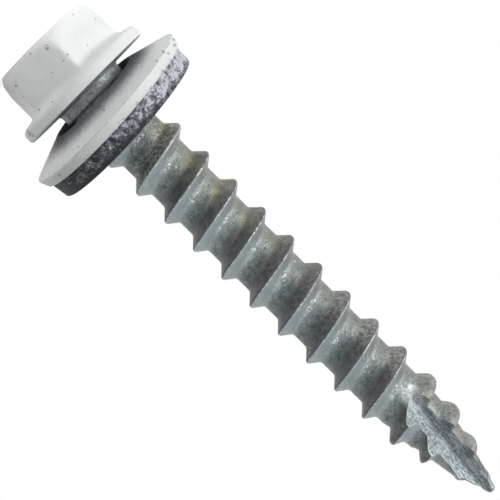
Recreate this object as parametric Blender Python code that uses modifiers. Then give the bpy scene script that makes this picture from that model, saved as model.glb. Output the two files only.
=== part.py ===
"""Roofing screw, 12 gauge by 1-1/2 inch, with a hex washer head and a loose sealing washer on its neck.

It stands on its hex head: +Z runs along the axis from the top of the head to the point, and the
origin is the middle of the head's top face. The sealing washer hangs askew on the neck, as it does
on a screw out of the box, and turns about its own axis, which the empty washer_axis carries.
"""

import math

import bmesh
import bpy
from mathutils import Matrix

# Hex head. Lengths are in metres, and heights count from the head's top face.
ACROSS_FLATS = 0.00753
HEX_HEIGHT = 0.00352
HEX_CORNER_RADIUS = 0.00045
HEX_CORNER_AZIMUTH = math.radians(21.0)
HEX_FOOT_FILLET = 0.00045
HEX_FOOT_SINK = 0.00011
HEAD_FACE_RADIUS = 0.00353
HEAD_CHAMFER = 0.00047
HEAD_SHOULDER = 0.00107
HEAD_SHOULDER_STEP = 0.00028

# Flange forged in one with the head
FLANGE_RADIUS = 0.0052
FLANGE_THICKNESS = 0.00096
FLANGE_FALL = math.radians(10.0)
FLANGE_TOP_ROUND = 0.00042
FLANGE_UNDER_ROUND = 0.00018

# Collar and neck under the flange
COLLAR_RADIUS = 0.00259
COLLAR_LENGTH = 0.00093
COLLAR_FILLET = 0.0003
COLLAR_END_ROUND = 0.00016
NECK_RADIUS = 0.0021
NECK_REACH = 0.00023
NECK_END_TAPER = 0.0006

# Shank, from the flange's underside to the point
SHANK_LENGTH = 0.03857
ROOT_RADIUS = 0.00197
POINT_HALF_ANGLE = math.radians(16.2)
POINT_SHOULDER = 0.0058
NOSE_RADIUS = 0.00034

# Coarse right-handed wood thread
PITCH = 0.002678
POINT_PITCH = 0.0023
PITCH_CLOSING_LENGTH = 0.01195
THREAD_HEIGHT = 0.00073
CREST_FLAT = 0.00018
HEAD_FLANK_ANGLE = math.radians(43.0)
POINT_FLANK_ANGLE = math.radians(36.0)
ROOT_FILLET = 0.00035
ROOT_FILLET_ROOM_SHARE = 0.9
THREAD_LEAD_IN = 0.00044
THREAD_START_AZIMUTH = math.radians(-90.0)
THREAD_RISE_TURNS = 0.3
THREAD_FADE_LENGTH = 0.0093
THREAD_END_LENGTH = 0.00065

# Flute of the cutting point: a V notch milled along one side
FLUTE_AZIMUTH = math.radians(-81.0)
FLUTE_ANGLE = math.radians(92.0)
FLUTE_PAST_AXIS = 0.00005
FLUTE_LEVEL_LENGTH = 0.0026
FLUTE_LENGTH = 0.0084
FLUTE_RISE = math.radians(14.5)
FLUTE_SKEW = math.radians(8.7)
FLUTE_ASIDE_AT_TIP = 0.0001
FLUTE_RUNOUT_RADIUS = 0.008

# Sealing washer: a dished steel cup with a rubber gasket bonded under it
WASHER_TILT = math.radians(7.7)
WASHER_LEAN_AZIMUTH = math.radians(-69.0)
GASKET_HEADROOM = 0.00062
CUP_HOLE_CLEARANCE = 0.00094
CUP_WIDTH = 0.00317
CUP_SHEET = 0.00085
CUP_SLOPE = math.radians(19.0)
CUP_OVERHANG = 0.00011
CUP_EDGE_ROUND = 0.00016
BOND_GAP = 0.00002
GASKET_BORE_CLEARANCE = 0.00045
GASKET_BORE_HEIGHT = 0.00175
GASKET_INSET = 0.00018
GASKET_EDGE_HEIGHT = 0.00135
GASKET_DRAFT = 0.00012
GASKET_LAND_WIDTH = 0.0018
GASKET_BORE_FLARE = 0.00015

# How far a joined shape reaches into the one that it is joined to
OVERLAP = 0.0004
MERGE_DISTANCE = 0.00001

TURNED_SIDES = 48
THREAD_SIDES = 24
ARC_STEPS = 3
SMALL_ARC_STEPS = 2
RUNOUT_STEPS = 5
# The thread's rows run on so many turns past the tip, and so close on it.
TURNS_PAST_TIP = 3

# Heights along the axis
Z_FLANGE_UNDER = HEX_HEIGHT + FLANGE_THICKNESS
Z_COLLAR_END = Z_FLANGE_UNDER + COLLAR_LENGTH
Z_WASHER = Z_COLLAR_END + GASKET_HEADROOM + GASKET_BORE_HEIGHT / 2
Z_NECK_END = Z_WASHER + GASKET_BORE_HEIGHT / 2 + NECK_REACH
Z_THREAD_START = Z_NECK_END + THREAD_LEAD_IN
Z_TIP = Z_FLANGE_UNDER + SHANK_LENGTH
Z_PITCH_CLOSING = Z_TIP - PITCH_CLOSING_LENGTH


def arc(centre, radius, start_deg, end_deg, steps=ARC_STEPS):
    """Points (r, z) on an arc, both ends among them."""
    points = []
    for step in range(steps + 1):
        angle = math.radians(start_deg + (end_deg - start_deg) * step / steps)
        points.append((centre[0] + radius * math.cos(angle), centre[1] + radius * math.sin(angle)))
    return points


def make_material(name, colour, roughness, metallic):
    material = bpy.data.materials.new(name)
    material.use_nodes = True
    shader = material.node_tree.nodes["Principled BSDF"]
    shader.inputs["Base Color"].default_value = (*colour, 1.0)
    shader.inputs["Roughness"].default_value = roughness
    shader.inputs["Metallic"].default_value = metallic
    return material


def make_object(name, mesh, collection, material):
    obj = bpy.data.objects.new(name, mesh)
    collection.objects.link(obj)
    mesh.materials.append(material)
    mesh.shade_smooth()
    mesh.set_sharp_from_angle(angle=math.radians(30.0))
    return obj


def hide_helper(obj):
    """A helper only joins or cuts, so it isn't rendered."""
    obj.hide_render = True
    obj.display_type = "WIRE"
    return obj


def turned(name, profile, collection, material, closed=False):
    """A shape turned about Z from points (r, z), which run down its outer side from the point end."""
    mesh = bpy.data.meshes.new(name)
    edges = [(i, i + 1) for i in range(len(profile) - 1)]
    if closed:
        edges.append((len(profile) - 1, 0))
    mesh.from_pydata([(r, 0.0, z) for r, z in profile], edges, [])
    obj = make_object(name, mesh, collection, material)
    screw = obj.modifiers.new("Turn", "SCREW")
    screw.axis = "Z"
    screw.steps = TURNED_SIDES
    screw.render_steps = TURNED_SIDES
    screw.use_merge_vertices = True
    screw.merge_threshold = MERGE_DISTANCE
    screw.use_smooth_shade = True
    return obj


def boolean(obj, operation, other):
    modifier = obj.modifiers.new(other.name, "BOOLEAN")
    modifier.operation = operation
    modifier.solver = "EXACT"
    modifier.material_mode = "TRANSFER"
    modifier.object = other


def flange_top_height(radius):
    """The flange's top falls away from the foot of the hex towards its rim."""
    foot_reach = ACROSS_FLATS / 2 + HEX_FOOT_FILLET
    return HEX_HEIGHT - HEX_FOOT_SINK + (radius - foot_reach) * math.tan(FLANGE_FALL)


def make_hex(helpers, paint):
    """Six flats with rounded corners, a filleted foot, and the forging die's round chamfer on top."""
    bm = bmesh.new()
    depth = HEX_HEIGHT - HEX_FOOT_FILLET
    corner = ACROSS_FLATS / 2 / math.cos(math.pi / 6)
    bmesh.ops.create_cone(bm, cap_ends=True, segments=6, radius1=corner, radius2=corner, depth=depth)
    first = next(iter(bm.verts)).co
    turn = HEX_CORNER_AZIMUTH - math.atan2(first.y, first.x)
    placed = Matrix.Translation((0, 0, depth / 2)) @ Matrix.Rotation(turn, 4, "Z")
    bmesh.ops.transform(bm, matrix=placed, verts=bm.verts)
    upright = [edge for edge in bm.edges if abs(edge.verts[0].co.z - edge.verts[1].co.z) > depth / 2]
    bmesh.ops.bevel(
        bm,
        geom=upright,
        offset=HEX_CORNER_RADIUS * math.tan(math.pi / 6),
        segments=ARC_STEPS,
        profile=0.5,
        affect="EDGES",
    )
    # The foot flares out along a quarter circle, then drops into the flange.
    foot = max(bm.faces, key=lambda face: face.calc_center_median().z)
    reach = ACROSS_FLATS / 2
    rings = arc((reach + HEX_FOOT_FILLET, depth), HEX_FOOT_FILLET, 180, 90)[1:]
    rings.append((rings[-1][0], HEX_HEIGHT + OVERLAP))
    for wide, height in rings:
        grown = bmesh.ops.extrude_face_region(bm, geom=[foot])["geom"]
        bmesh.ops.delete(bm, geom=[foot], context="FACES_ONLY")
        foot = next(item for item in grown if isinstance(item, bmesh.types.BMFace))
        for vert in foot.verts:
            vert.co.x *= wide / reach
            vert.co.y *= wide / reach
            vert.co.z = height
        reach = wide
    bmesh.ops.recalc_face_normals(bm, faces=bm.faces)
    mesh = bpy.data.meshes.new("hex_head")
    bm.to_mesh(mesh)
    bm.free()
    hexagon = hide_helper(make_object("hex_head", mesh, helpers, paint))

    # The blank's outer side swells from the chamfer to a shoulder, and past it only the flats are left.
    chamfer_reach = HEAD_FACE_RADIUS + HEAD_CHAMFER
    shoulder = (chamfer_reach + HEAD_SHOULDER_STEP, HEAD_CHAMFER + HEAD_SHOULDER)
    clear = FLANGE_RADIUS + OVERLAP
    blank_end = HEX_HEIGHT + 2 * OVERLAP
    blank = [(0, blank_end), (clear, blank_end), (clear, shoulder[1] + clear - shoulder[0])]
    for step in range(ARC_STEPS + 1):
        left = 1 - step / ARC_STEPS
        swell = HEAD_SHOULDER_STEP * left * (2 - left)
        blank.append((chamfer_reach + swell, HEAD_CHAMFER + HEAD_SHOULDER * left))
    blank += [(HEAD_FACE_RADIUS - OVERLAP, -OVERLAP), (0, -OVERLAP)]
    boolean(hexagon, "INTERSECT", hide_helper(turned("head_blank", blank, helpers, paint)))
    return hexagon


def make_flange(helpers, paint, zinc):
    """Flange and collar, turned in one: the paint ends at the flange's underside."""
    rim = FLANGE_RADIUS
    shoulder_radius = rim - FLANGE_TOP_ROUND
    top = flange_top_height(shoulder_radius)
    collar_edge = (COLLAR_RADIUS - COLLAR_END_ROUND, Z_COLLAR_END - COLLAR_END_ROUND)
    fillet = (COLLAR_RADIUS + COLLAR_FILLET, Z_FLANGE_UNDER + COLLAR_FILLET)
    under_edge = (rim - FLANGE_UNDER_ROUND, Z_FLANGE_UNDER - FLANGE_UNDER_ROUND)
    profile = [(0, Z_COLLAR_END)]
    profile += arc(collar_edge, COLLAR_END_ROUND, 90, 0)
    profile += arc(fillet, COLLAR_FILLET, 180, 270)
    profile += arc(under_edge, FLANGE_UNDER_ROUND, 90, 0)
    profile += arc((shoulder_radius, top + FLANGE_TOP_ROUND), FLANGE_TOP_ROUND, 0, -90)
    profile += [(ACROSS_FLATS / 2, flange_top_height(ACROSS_FLATS / 2)), (0, HEX_HEIGHT - OVERLAP)]
    outline = turned("flange_outline", profile, helpers, paint)
    outline.data.materials.append(zinc)
    graph = bpy.context.evaluated_depsgraph_get()
    mesh = bpy.data.meshes.new_from_object(outline.evaluated_get(graph))
    bpy.data.objects.remove(outline)
    for face in mesh.polygons:
        face.material_index = int(face.center.z > Z_FLANGE_UNDER)
    flange = bpy.data.objects.new("flange", mesh)
    helpers.objects.link(flange)
    return hide_helper(flange)


def closing_rate():
    """How fast the thread's turns close up towards the point, in turns per square metre."""
    return (1 / POINT_PITCH - 1 / PITCH) / (2 * PITCH_CLOSING_LENGTH)


def crest_height(turns):
    """The height of the crest line after so many turns from the thread's start."""
    plain_turns = (Z_PITCH_CLOSING - Z_THREAD_START) / PITCH
    if turns <= plain_turns:
        return Z_THREAD_START + turns * PITCH
    rate = closing_rate()
    past = (math.sqrt(1 / PITCH**2 + 4 * rate * (turns - plain_turns)) - 1 / PITCH) / (2 * rate)
    return Z_PITCH_CLOSING + past


def core_radius(z):
    """The neck steps down to the thread's root, which rolls over into a cone with a small round nose."""
    if z < Z_NECK_END + NECK_END_TAPER:
        stepped = max(0.0, z - Z_NECK_END) / NECK_END_TAPER
        return NECK_RADIUS + (ROOT_RADIUS - NECK_RADIUS) * stepped
    below_tip = Z_TIP - z
    slope = math.tan(POINT_HALF_ANGLE)
    nose_height = NOSE_RADIUS * (1 - math.sin(POINT_HALF_ANGLE))
    if below_tip < nose_height:
        return math.sqrt(max(0.0, 2 * NOSE_RADIUS * below_tip - below_tip**2))
    cone = NOSE_RADIUS * math.cos(POINT_HALF_ANGLE) + (below_tip - nose_height) * slope
    past_corner = POINT_SHOULDER / 2 - (cone - ROOT_RADIUS) / slope
    if past_corner <= 0:
        return ROOT_RADIUS
    if past_corner < POINT_SHOULDER:
        return ROOT_RADIUS - slope * past_corner**2 / (2 * POINT_SHOULDER)
    return cone


def ridge_height(turns):
    """The ridge rises over part of a turn, keeps its height, and dies away along the point."""
    risen = min(1.0, max(0.0, turns / THREAD_RISE_TURNS))
    fade_start = Z_TIP - THREAD_FADE_LENGTH
    faded = (crest_height(turns) - fade_start) / (THREAD_FADE_LENGTH - THREAD_END_LENGTH)
    left = 1 - min(1.0, max(0.0, faded)) ** 2
    return THREAD_HEIGHT * risen * risen * (3 - 2 * risen) * left


def ridge_side(flank_angle):
    """One side of the ridge, as distances along the axis from its crest and shares of its height."""
    flank = math.pi / 2 - flank_angle
    straight = CREST_FLAT / 2 + THREAD_HEIGHT / math.tan(flank)
    room = PITCH / 2 - straight
    fillet = min(ROOT_FILLET, ROOT_FILLET_ROOM_SHARE * room / math.tan(flank / 2))
    foot = straight + fillet * math.tan(flank / 2)
    half = [(CREST_FLAT / 2, 1.0)]
    for along, up in arc((foot, fillet), fillet, 270 - math.degrees(flank), 270, SMALL_ARC_STEPS):
        half.append((along, up / THREAD_HEIGHT))
    return half


def ridge_section():
    """One whole ridge, head side first."""
    head_side = [(-along, share) for along, share in reversed(ridge_side(HEAD_FLANK_ANGLE))]
    return head_side + ridge_side(POINT_FLANK_ANGLE)


def make_thread(parts, zinc):
    """The threaded shank as one skin whose rows follow the helix, so that crest and root stay crisp.

    Row after row of the ridge's section is carried round the axis. Each row ends a turn later where
    the same row of the next ridge begins, and the last rows close on the tip.
    """
    section = ridge_section()
    per_turn = len(section)
    bm = bmesh.new()
    tip = bm.verts.new((0, 0, Z_TIP))
    rows = []
    turn = -math.ceil((Z_THREAD_START - Z_FLANGE_UNDER) / PITCH)
    while crest_height(turn - TURNS_PAST_TIP) < Z_TIP:
        for along, share in section:
            row = []
            for side in range(THREAD_SIDES):
                part_turn = side / THREAD_SIDES
                z = crest_height(turn + along / PITCH + part_turn)
                if z >= Z_TIP:
                    row.append(tip)
                    continue
                radius = core_radius(z) + share * ridge_height(turn + part_turn)
                azimuth = THREAD_START_AZIMUTH + 2 * math.pi * part_turn
                place = (radius * math.cos(azimuth), radius * math.sin(azimuth), z)
                row.append(bm.verts.new(place))
            rows.append(row)
        turn += 1

    for i in range(len(rows) - per_turn - 1):
        for side in range(THREAD_SIDES):
            if side + 1 < THREAD_SIDES:
                after = (rows[i][side + 1], rows[i + 1][side + 1])
            else:
                after = (rows[i + per_turn][0], rows[i + per_turn + 1][0])
            corners = list(dict.fromkeys((rows[i][side], after[0], after[1], rows[i + 1][side])))
            if len(corners) > 2:
                bm.faces.new(corners)

    # The head end is a helical step, closed inside the head.
    middle = bm.verts.new((0, 0, (rows[0][0].co.z + rows[per_turn][0].co.z) / 2))
    rim = rows[0] + [rows[i][0] for i in range(per_turn, 0, -1)]
    for one, other in zip(rim, rim[1:] + rim[:1]):
        bm.faces.new((one, other, middle))
    bmesh.ops.recalc_face_normals(bm, faces=bm.faces)
    mesh = bpy.data.meshes.new("screw")
    bm.to_mesh(mesh)
    bm.free()
    return make_object("screw", mesh, parts, zinc)


def flute_valley(z):
    """The bottom of the V at this height: how far it lies from the axis towards the opening, and aside."""
    slope = math.tan(FLUTE_RISE)
    below_tip = Z_TIP - z
    depth = -FLUTE_PAST_AXIS + max(0.0, below_tip - FLUTE_LEVEL_LENGTH) * slope
    depth += max(0.0, below_tip - FLUTE_LENGTH) ** 2 / (2 * FLUTE_RUNOUT_RADIUS)
    return depth, below_tip * math.tan(FLUTE_SKEW) - FLUTE_ASIDE_AT_TIP


def make_flute_cutter(helpers, zinc):
    """A V whose bottom runs level past the tip, climbs towards the surface and curves out of the thread."""
    outside = 2 * (ROOT_RADIUS + THREAD_HEIGHT)
    runout = math.sqrt(2 * FLUTE_RUNOUT_RADIUS * (ROOT_RADIUS + THREAD_HEIGHT))
    stations = [Z_TIP + OVERLAP, Z_TIP - FLUTE_LEVEL_LENGTH]
    for step in range(RUNOUT_STEPS + 1):
        stations.append(Z_TIP - FLUTE_LENGTH - runout * step / RUNOUT_STEPS)
    opening = (math.cos(FLUTE_AZIMUTH), math.sin(FLUTE_AZIMUTH))
    aside = (opening[1], -opening[0])
    bm = bmesh.new()
    rings = []
    for z in stations:
        depth, shift = flute_valley(z)
        x = opening[0] * depth + aside[0] * shift
        y = opening[1] * depth + aside[1] * shift
        ring = [bm.verts.new((x, y, z))]
        for side in (-1, 1):
            angle = FLUTE_AZIMUTH + side * FLUTE_ANGLE / 2
            place = (x + outside * math.cos(angle), y + outside * math.sin(angle), z)
            ring.append(bm.verts.new(place))
        rings.append(ring)
    for ring, below in zip(rings, rings[1:]):
        for i in range(3):
            bm.faces.new((ring[i], ring[i - 1], below[i - 1], below[i]))
    bm.faces.new(rings[0])
    bm.faces.new(rings[-1])
    bmesh.ops.triangulate(bm, faces=bm.faces)
    bmesh.ops.recalc_face_normals(bm, faces=bm.faces)
    mesh = bpy.data.meshes.new("flute_cutter")
    bm.to_mesh(mesh)
    bm.free()
    return hide_helper(make_object("flute_cutter", mesh, helpers, zinc))


def make_screw(parts, helpers, paint, zinc):
    """Head, flange, neck and threaded shank are one forged and rolled piece."""
    screw = make_thread(parts, zinc)
    flange = make_flange(helpers, paint, zinc)
    boolean(flange, "UNION", make_hex(helpers, paint))
    boolean(screw, "UNION", flange)
    boolean(screw, "DIFFERENCE", make_flute_cutter(helpers, zinc))
    return screw


def make_washer_axis(parts):
    """The empty on the washer's own axis, at the middle of the gasket's bore, leaning as the washer hangs."""
    lean = Matrix.Rotation(WASHER_LEAN_AZIMUTH, 4, "Z") @ Matrix.Rotation(-WASHER_TILT, 4, "Y")
    axis = bpy.data.objects.new("washer_axis", None)
    axis.empty_display_size = FLANGE_RADIUS
    axis.matrix_world = Matrix.Translation((0, 0, Z_WASHER)) @ lean
    parts.objects.link(axis)
    return axis


def cup_corners():
    """Corners of the dished sheet's section in the washer's own frame.

    They are the hole's and the rim's on the head side, then the rim's and the hole's on the point side.
    """
    through = (-CUP_SHEET * math.sin(CUP_SLOPE), CUP_SHEET * math.cos(CUP_SLOPE))
    hole = COLLAR_RADIUS + CUP_HOLE_CLEARANCE
    inner = (hole, -GASKET_BORE_HEIGHT / 2 - CUP_OVERHANG - through[1])
    outer = (hole + CUP_WIDTH, inner[1] + CUP_WIDTH * math.tan(CUP_SLOPE))
    outer_under = (outer[0] + through[0], outer[1] + through[1])
    inner_under = (inner[0] + through[0], inner[1] + through[1])
    return inner, outer, outer_under, inner_under


def make_cup(parts, axis, paint):
    inner, outer, outer_under, inner_under = cup_corners()
    slope = math.degrees(CUP_SLOPE)
    # Blanking rounds the sheet's outer edge on the head side.
    inward = -CUP_EDGE_ROUND * math.cos(CUP_SLOPE) - CUP_EDGE_ROUND * math.sin(CUP_SLOPE)
    downward = -CUP_EDGE_ROUND * math.sin(CUP_SLOPE) + CUP_EDGE_ROUND * math.cos(CUP_SLOPE)
    centre = (outer[0] + inward, outer[1] + downward)
    rounded = arc(centre, CUP_EDGE_ROUND, slope, slope - 90, SMALL_ARC_STEPS)
    profile = [inner_under, outer_under] + rounded + [inner]
    cup = turned("washer_cup", profile, parts, paint, closed=True)
    cup.parent = axis
    return cup


def make_gasket(parts, axis, rubber):
    """Rubber ring bonded under the cup, with a flat sealing land and a relieved bore."""
    _, _, outer_under, inner_under = cup_corners()
    slope = math.tan(CUP_SLOPE)
    bore = NECK_RADIUS + GASKET_BORE_CLEARANCE
    inner_top = -GASKET_BORE_HEIGHT / 2
    bond = BOND_GAP / math.cos(CUP_SLOPE)
    meets_cup = inner_under[0] + (inner_top - bond - inner_under[1]) / slope
    outside = outer_under[0] - GASKET_INSET
    outside_top = inner_top + (outside - meets_cup) * slope
    land = outside_top + GASKET_EDGE_HEIGHT
    land_outer = outside - GASKET_DRAFT
    profile = [
        (bore + GASKET_BORE_FLARE, GASKET_BORE_HEIGHT / 2),
        (land_outer - GASKET_LAND_WIDTH, land),
        (land_outer, land),
        (outside, outside_top),
        (meets_cup, inner_top),
        (bore, inner_top),
        (bore, GASKET_BORE_HEIGHT / 2 - GASKET_BORE_FLARE),
    ]
    gasket = turned("washer_gasket", profile, parts, rubber, closed=True)
    gasket.parent = axis
    return gasket


def main():
    for obj in list(bpy.data.objects):
        bpy.data.objects.remove(obj)
    parts = bpy.data.collections.new("roofing_screw")
    helpers = bpy.data.collections.new("construction")
    for collection in (parts, helpers):
        bpy.context.scene.collection.children.link(collection)
    paint = make_material("white_paint", (0.82, 0.83, 0.83), 0.35, 0.0)
    zinc = make_material("zinc_plating", (0.52, 0.54, 0.53), 0.42, 0.9)
    rubber = make_material("black_rubber", (0.05, 0.05, 0.06), 0.75, 0.0)
    make_screw(parts, helpers, paint, zinc)
    axis = make_washer_axis(parts)
    make_cup(parts, axis, paint)
    make_gasket(parts, axis, rubber)


main()
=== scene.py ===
"""Looks of a white-headed roofing screw with a loose sealing washer.

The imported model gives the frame. The screw and both halves of its washer are modelled again here at a
finer grain, each in the place of its own node, and get their paint, zinc and rubber. Patterns are
laid out in millimetres on Object coordinates.
"""

import logging
import math
from collections.abc import Callable, Iterator
from contextlib import contextmanager
from dataclasses import asdict, dataclass, field
from enum import Enum

import bpy
from mathutils import Matrix, Vector, noise


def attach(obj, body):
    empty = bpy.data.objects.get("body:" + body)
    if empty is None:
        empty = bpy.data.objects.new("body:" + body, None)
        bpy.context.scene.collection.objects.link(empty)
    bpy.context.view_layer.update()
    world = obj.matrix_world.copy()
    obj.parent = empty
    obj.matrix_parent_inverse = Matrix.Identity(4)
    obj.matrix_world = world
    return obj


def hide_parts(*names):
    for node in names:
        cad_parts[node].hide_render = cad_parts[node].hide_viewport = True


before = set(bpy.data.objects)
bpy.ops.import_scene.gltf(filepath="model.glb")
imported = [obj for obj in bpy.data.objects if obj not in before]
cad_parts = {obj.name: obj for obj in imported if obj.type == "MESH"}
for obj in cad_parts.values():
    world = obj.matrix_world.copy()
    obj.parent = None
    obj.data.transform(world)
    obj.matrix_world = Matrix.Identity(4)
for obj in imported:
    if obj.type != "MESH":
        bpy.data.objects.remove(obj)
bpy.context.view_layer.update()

MM = 0.001
MERGE_DISTANCE = 1e-6
FULL_TURN = 2 * math.pi

Point = tuple[float, float]
Band = tuple[Point, Point]
Colour = tuple[float, float, float]
Group = bpy.types.NodeTree
Material = bpy.types.Material
Object = bpy.types.Object

log = logging.getLogger("roofing_screw")


# Modelling tools


def deselect_all() -> None:
    """Clears the selection, because loading the frame leaves its nodes selected."""
    bpy.ops.object.select_all(action="DESELECT")


def pick(obj: Object) -> None:
    """Makes one object the only selected one and the active one.

    Args:
        obj: The object.
    """
    deselect_all()
    obj.select_set(True)
    bpy.context.view_layer.objects.active = obj


@contextmanager
def editing(obj: Object) -> Iterator[None]:
    """Opens one mesh for editing with all of it selected, and closes it again.

    Args:
        obj: The mesh's object.

    Yields:
        Nothing, while it is open.
    """
    pick(obj)
    bpy.ops.object.mode_set(mode="EDIT")
    bpy.ops.mesh.select_all(action="SELECT")
    yield
    bpy.ops.object.mode_set(mode="OBJECT")


def arc(centre: Point, radius: float, start_deg: float, end_deg: float, steps: int) -> list[Point]:
    """Lays points along an arc.

    Args:
        centre: The arc's centre as (r, z).
        radius: The arc's radius.
        start_deg: The angle of the first point, from the r axis towards z.
        end_deg: The angle of the last point.
        steps: How many stretches the arc has.

    Returns:
        The points (r, z), both ends among them.
    """
    angles = (math.radians(start_deg + (end_deg - start_deg) * i / steps) for i in range(steps + 1))
    return [(centre[0] + radius * math.cos(a), centre[1] + radius * math.sin(a)) for a in angles]


def inner(start: Point, end: Point, steps: int) -> list[Point]:
    """Cuts a straight line into so many stretches and gives the points between them, without its ends."""
    shares = (i / steps for i in range(1, steps))
    return [(start[0] + (end[0] - start[0]) * s, start[1] + (end[1] - start[1]) * s) for s in shares]


def draw_profile(name: str, points: list[Point], closed: bool = False) -> Object:
    """Draws an outline in the XZ plane, by extruding one vertex from point to point.

    Args:
        name: The new object's name.
        points: The outline as (r, z).
        closed: Whether the last point joins the first.

    Returns:
        The object, an open or closed run of edges.
    """
    deselect_all()
    bpy.ops.mesh.primitive_plane_add(size=MM)
    obj = bpy.context.active_object
    obj.name = name
    obj.data.name = name
    route = points + points[:1] if closed else points
    with editing(obj):
        bpy.ops.mesh.merge(type="CENTER")
        bpy.ops.transform.translate(value=(points[0][0], 0, points[0][1]))
        for (r, z), (next_r, next_z) in zip(route, route[1:]):
            step = (next_r - r, 0, next_z - z)
            bpy.ops.mesh.extrude_region_move(TRANSFORM_OT_translate={"value": step})
        bpy.ops.mesh.select_all(action="SELECT")
        bpy.ops.mesh.remove_doubles(threshold=MERGE_DISTANCE)
    return obj


def apply_modifier(obj: Object, kind: str, **settings: object) -> None:
    """Adds a modifier of one kind, sets its properties and applies it.

    Args:
        obj: The object that it changes.
        kind: The modifier's type.
        **settings: Values for its properties.
    """
    pick(obj)
    bpy.ops.object.modifier_add(type=kind)
    modifier = obj.modifiers[-1]
    for key, value in settings.items():
        setattr(modifier, key, value)
    bpy.ops.object.modifier_apply(modifier=modifier.name)


def clean_skin(obj: Object) -> None:
    """Merges doubled vertices and turns all faces outwards.

    Args:
        obj: The mesh's object.
    """
    with editing(obj):
        bpy.ops.mesh.remove_doubles(threshold=MERGE_DISTANCE)
        bpy.ops.mesh.dissolve_degenerate(threshold=MERGE_DISTANCE)
        bpy.ops.mesh.normals_make_consistent(inside=False)


def turn_profile(obj: Object, steps: int, rise: float = 0.0, rounds: int = 1) -> None:
    """Turns an outline about Z into a skin.

    Args:
        obj: The outline, in the XZ plane.
        steps: How many steps one full turn has.
        rise: How far one full turn climbs along Z.
        rounds: How many full turns it makes.
    """
    apply_modifier(
        obj,
        "SCREW",
        axis="Z",
        steps=steps,
        render_steps=steps,
        screw_offset=rise,
        iterations=rounds,
        use_merge_vertices=rise == 0,
        merge_threshold=MERGE_DISTANCE,
    )
    clean_skin(obj)


class Join(Enum):
    """How one closed mesh changes another."""

    ADD = "UNION"
    CUT = "DIFFERENCE"


def combine(obj: Object, how: Join, other: Object) -> None:
    """Joins or cuts one closed mesh with another, whose materials come along, and removes the other.

    Args:
        obj: The mesh that stays.
        how: Whether the other one is added or cut away.
        other: The mesh that is used up.
    """
    settings = {"operation": how.value, "solver": "EXACT", "material_mode": "TRANSFER"}
    apply_modifier(obj, "BOOLEAN", object=other, **settings)
    bpy.data.objects.remove(other)


def shade(obj: Object, sharp_from_deg: float) -> None:
    """Shades a mesh smooth, apart from edges whose faces meet at this angle or more."""
    pick(obj)
    bpy.ops.object.shade_smooth_by_angle(angle=math.radians(sharp_from_deg))


def clamp(share: float) -> float:
    """Holds a share between 0 and 1."""
    return min(1.0, max(0.0, share))


def smooth_step(share: float) -> float:
    """Eases a share from 0 to 1, and holds it at the ends."""
    share = clamp(share)
    return share * share * (3 - 2 * share)


def soft_min(a: float, b: float, width: float) -> float:
    """The smaller of two lengths, rounded over where they lie within width of each other."""
    near = max(width - abs(a - b), 0.0) / width
    return min(a, b) - near * near * width / 4


# Shader tools


def by_math(operation: str) -> Callable[["Signal", object], "Signal"]:
    """Makes a method of Signal that adds a Math node with a number or another signal."""
    return lambda signal, other: signal.shader.math(operation, signal, other)


@dataclass(frozen=True)
class Signal:
    """What a shader node passes on. Arithmetic on it adds Math nodes."""

    shader: "Shader"
    socket: bpy.types.NodeSocket

    __add__ = by_math("ADD")
    __sub__ = by_math("SUBTRACT")
    __mul__ = by_math("MULTIPLY")
    __truediv__ = by_math("DIVIDE")
    larger = by_math("MAXIMUM")

    def rise(self, low: object, high: object) -> "Signal":
        """0 below low and 1 above high, with a smooth rise; low may be above high."""
        inputs = {"Value": self, "From Min": low, "From Max": high}
        return self.shader.signal("ShaderNodeMapRange", inputs, interpolation_type="SMOOTHSTEP")

    def within(self, start: Point, end: Point) -> "Signal":
        """1 between two stretches, with a smooth rise along the first and a smooth fall along the second."""
        return self.rise(*start) * self.rise(*end)


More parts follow.
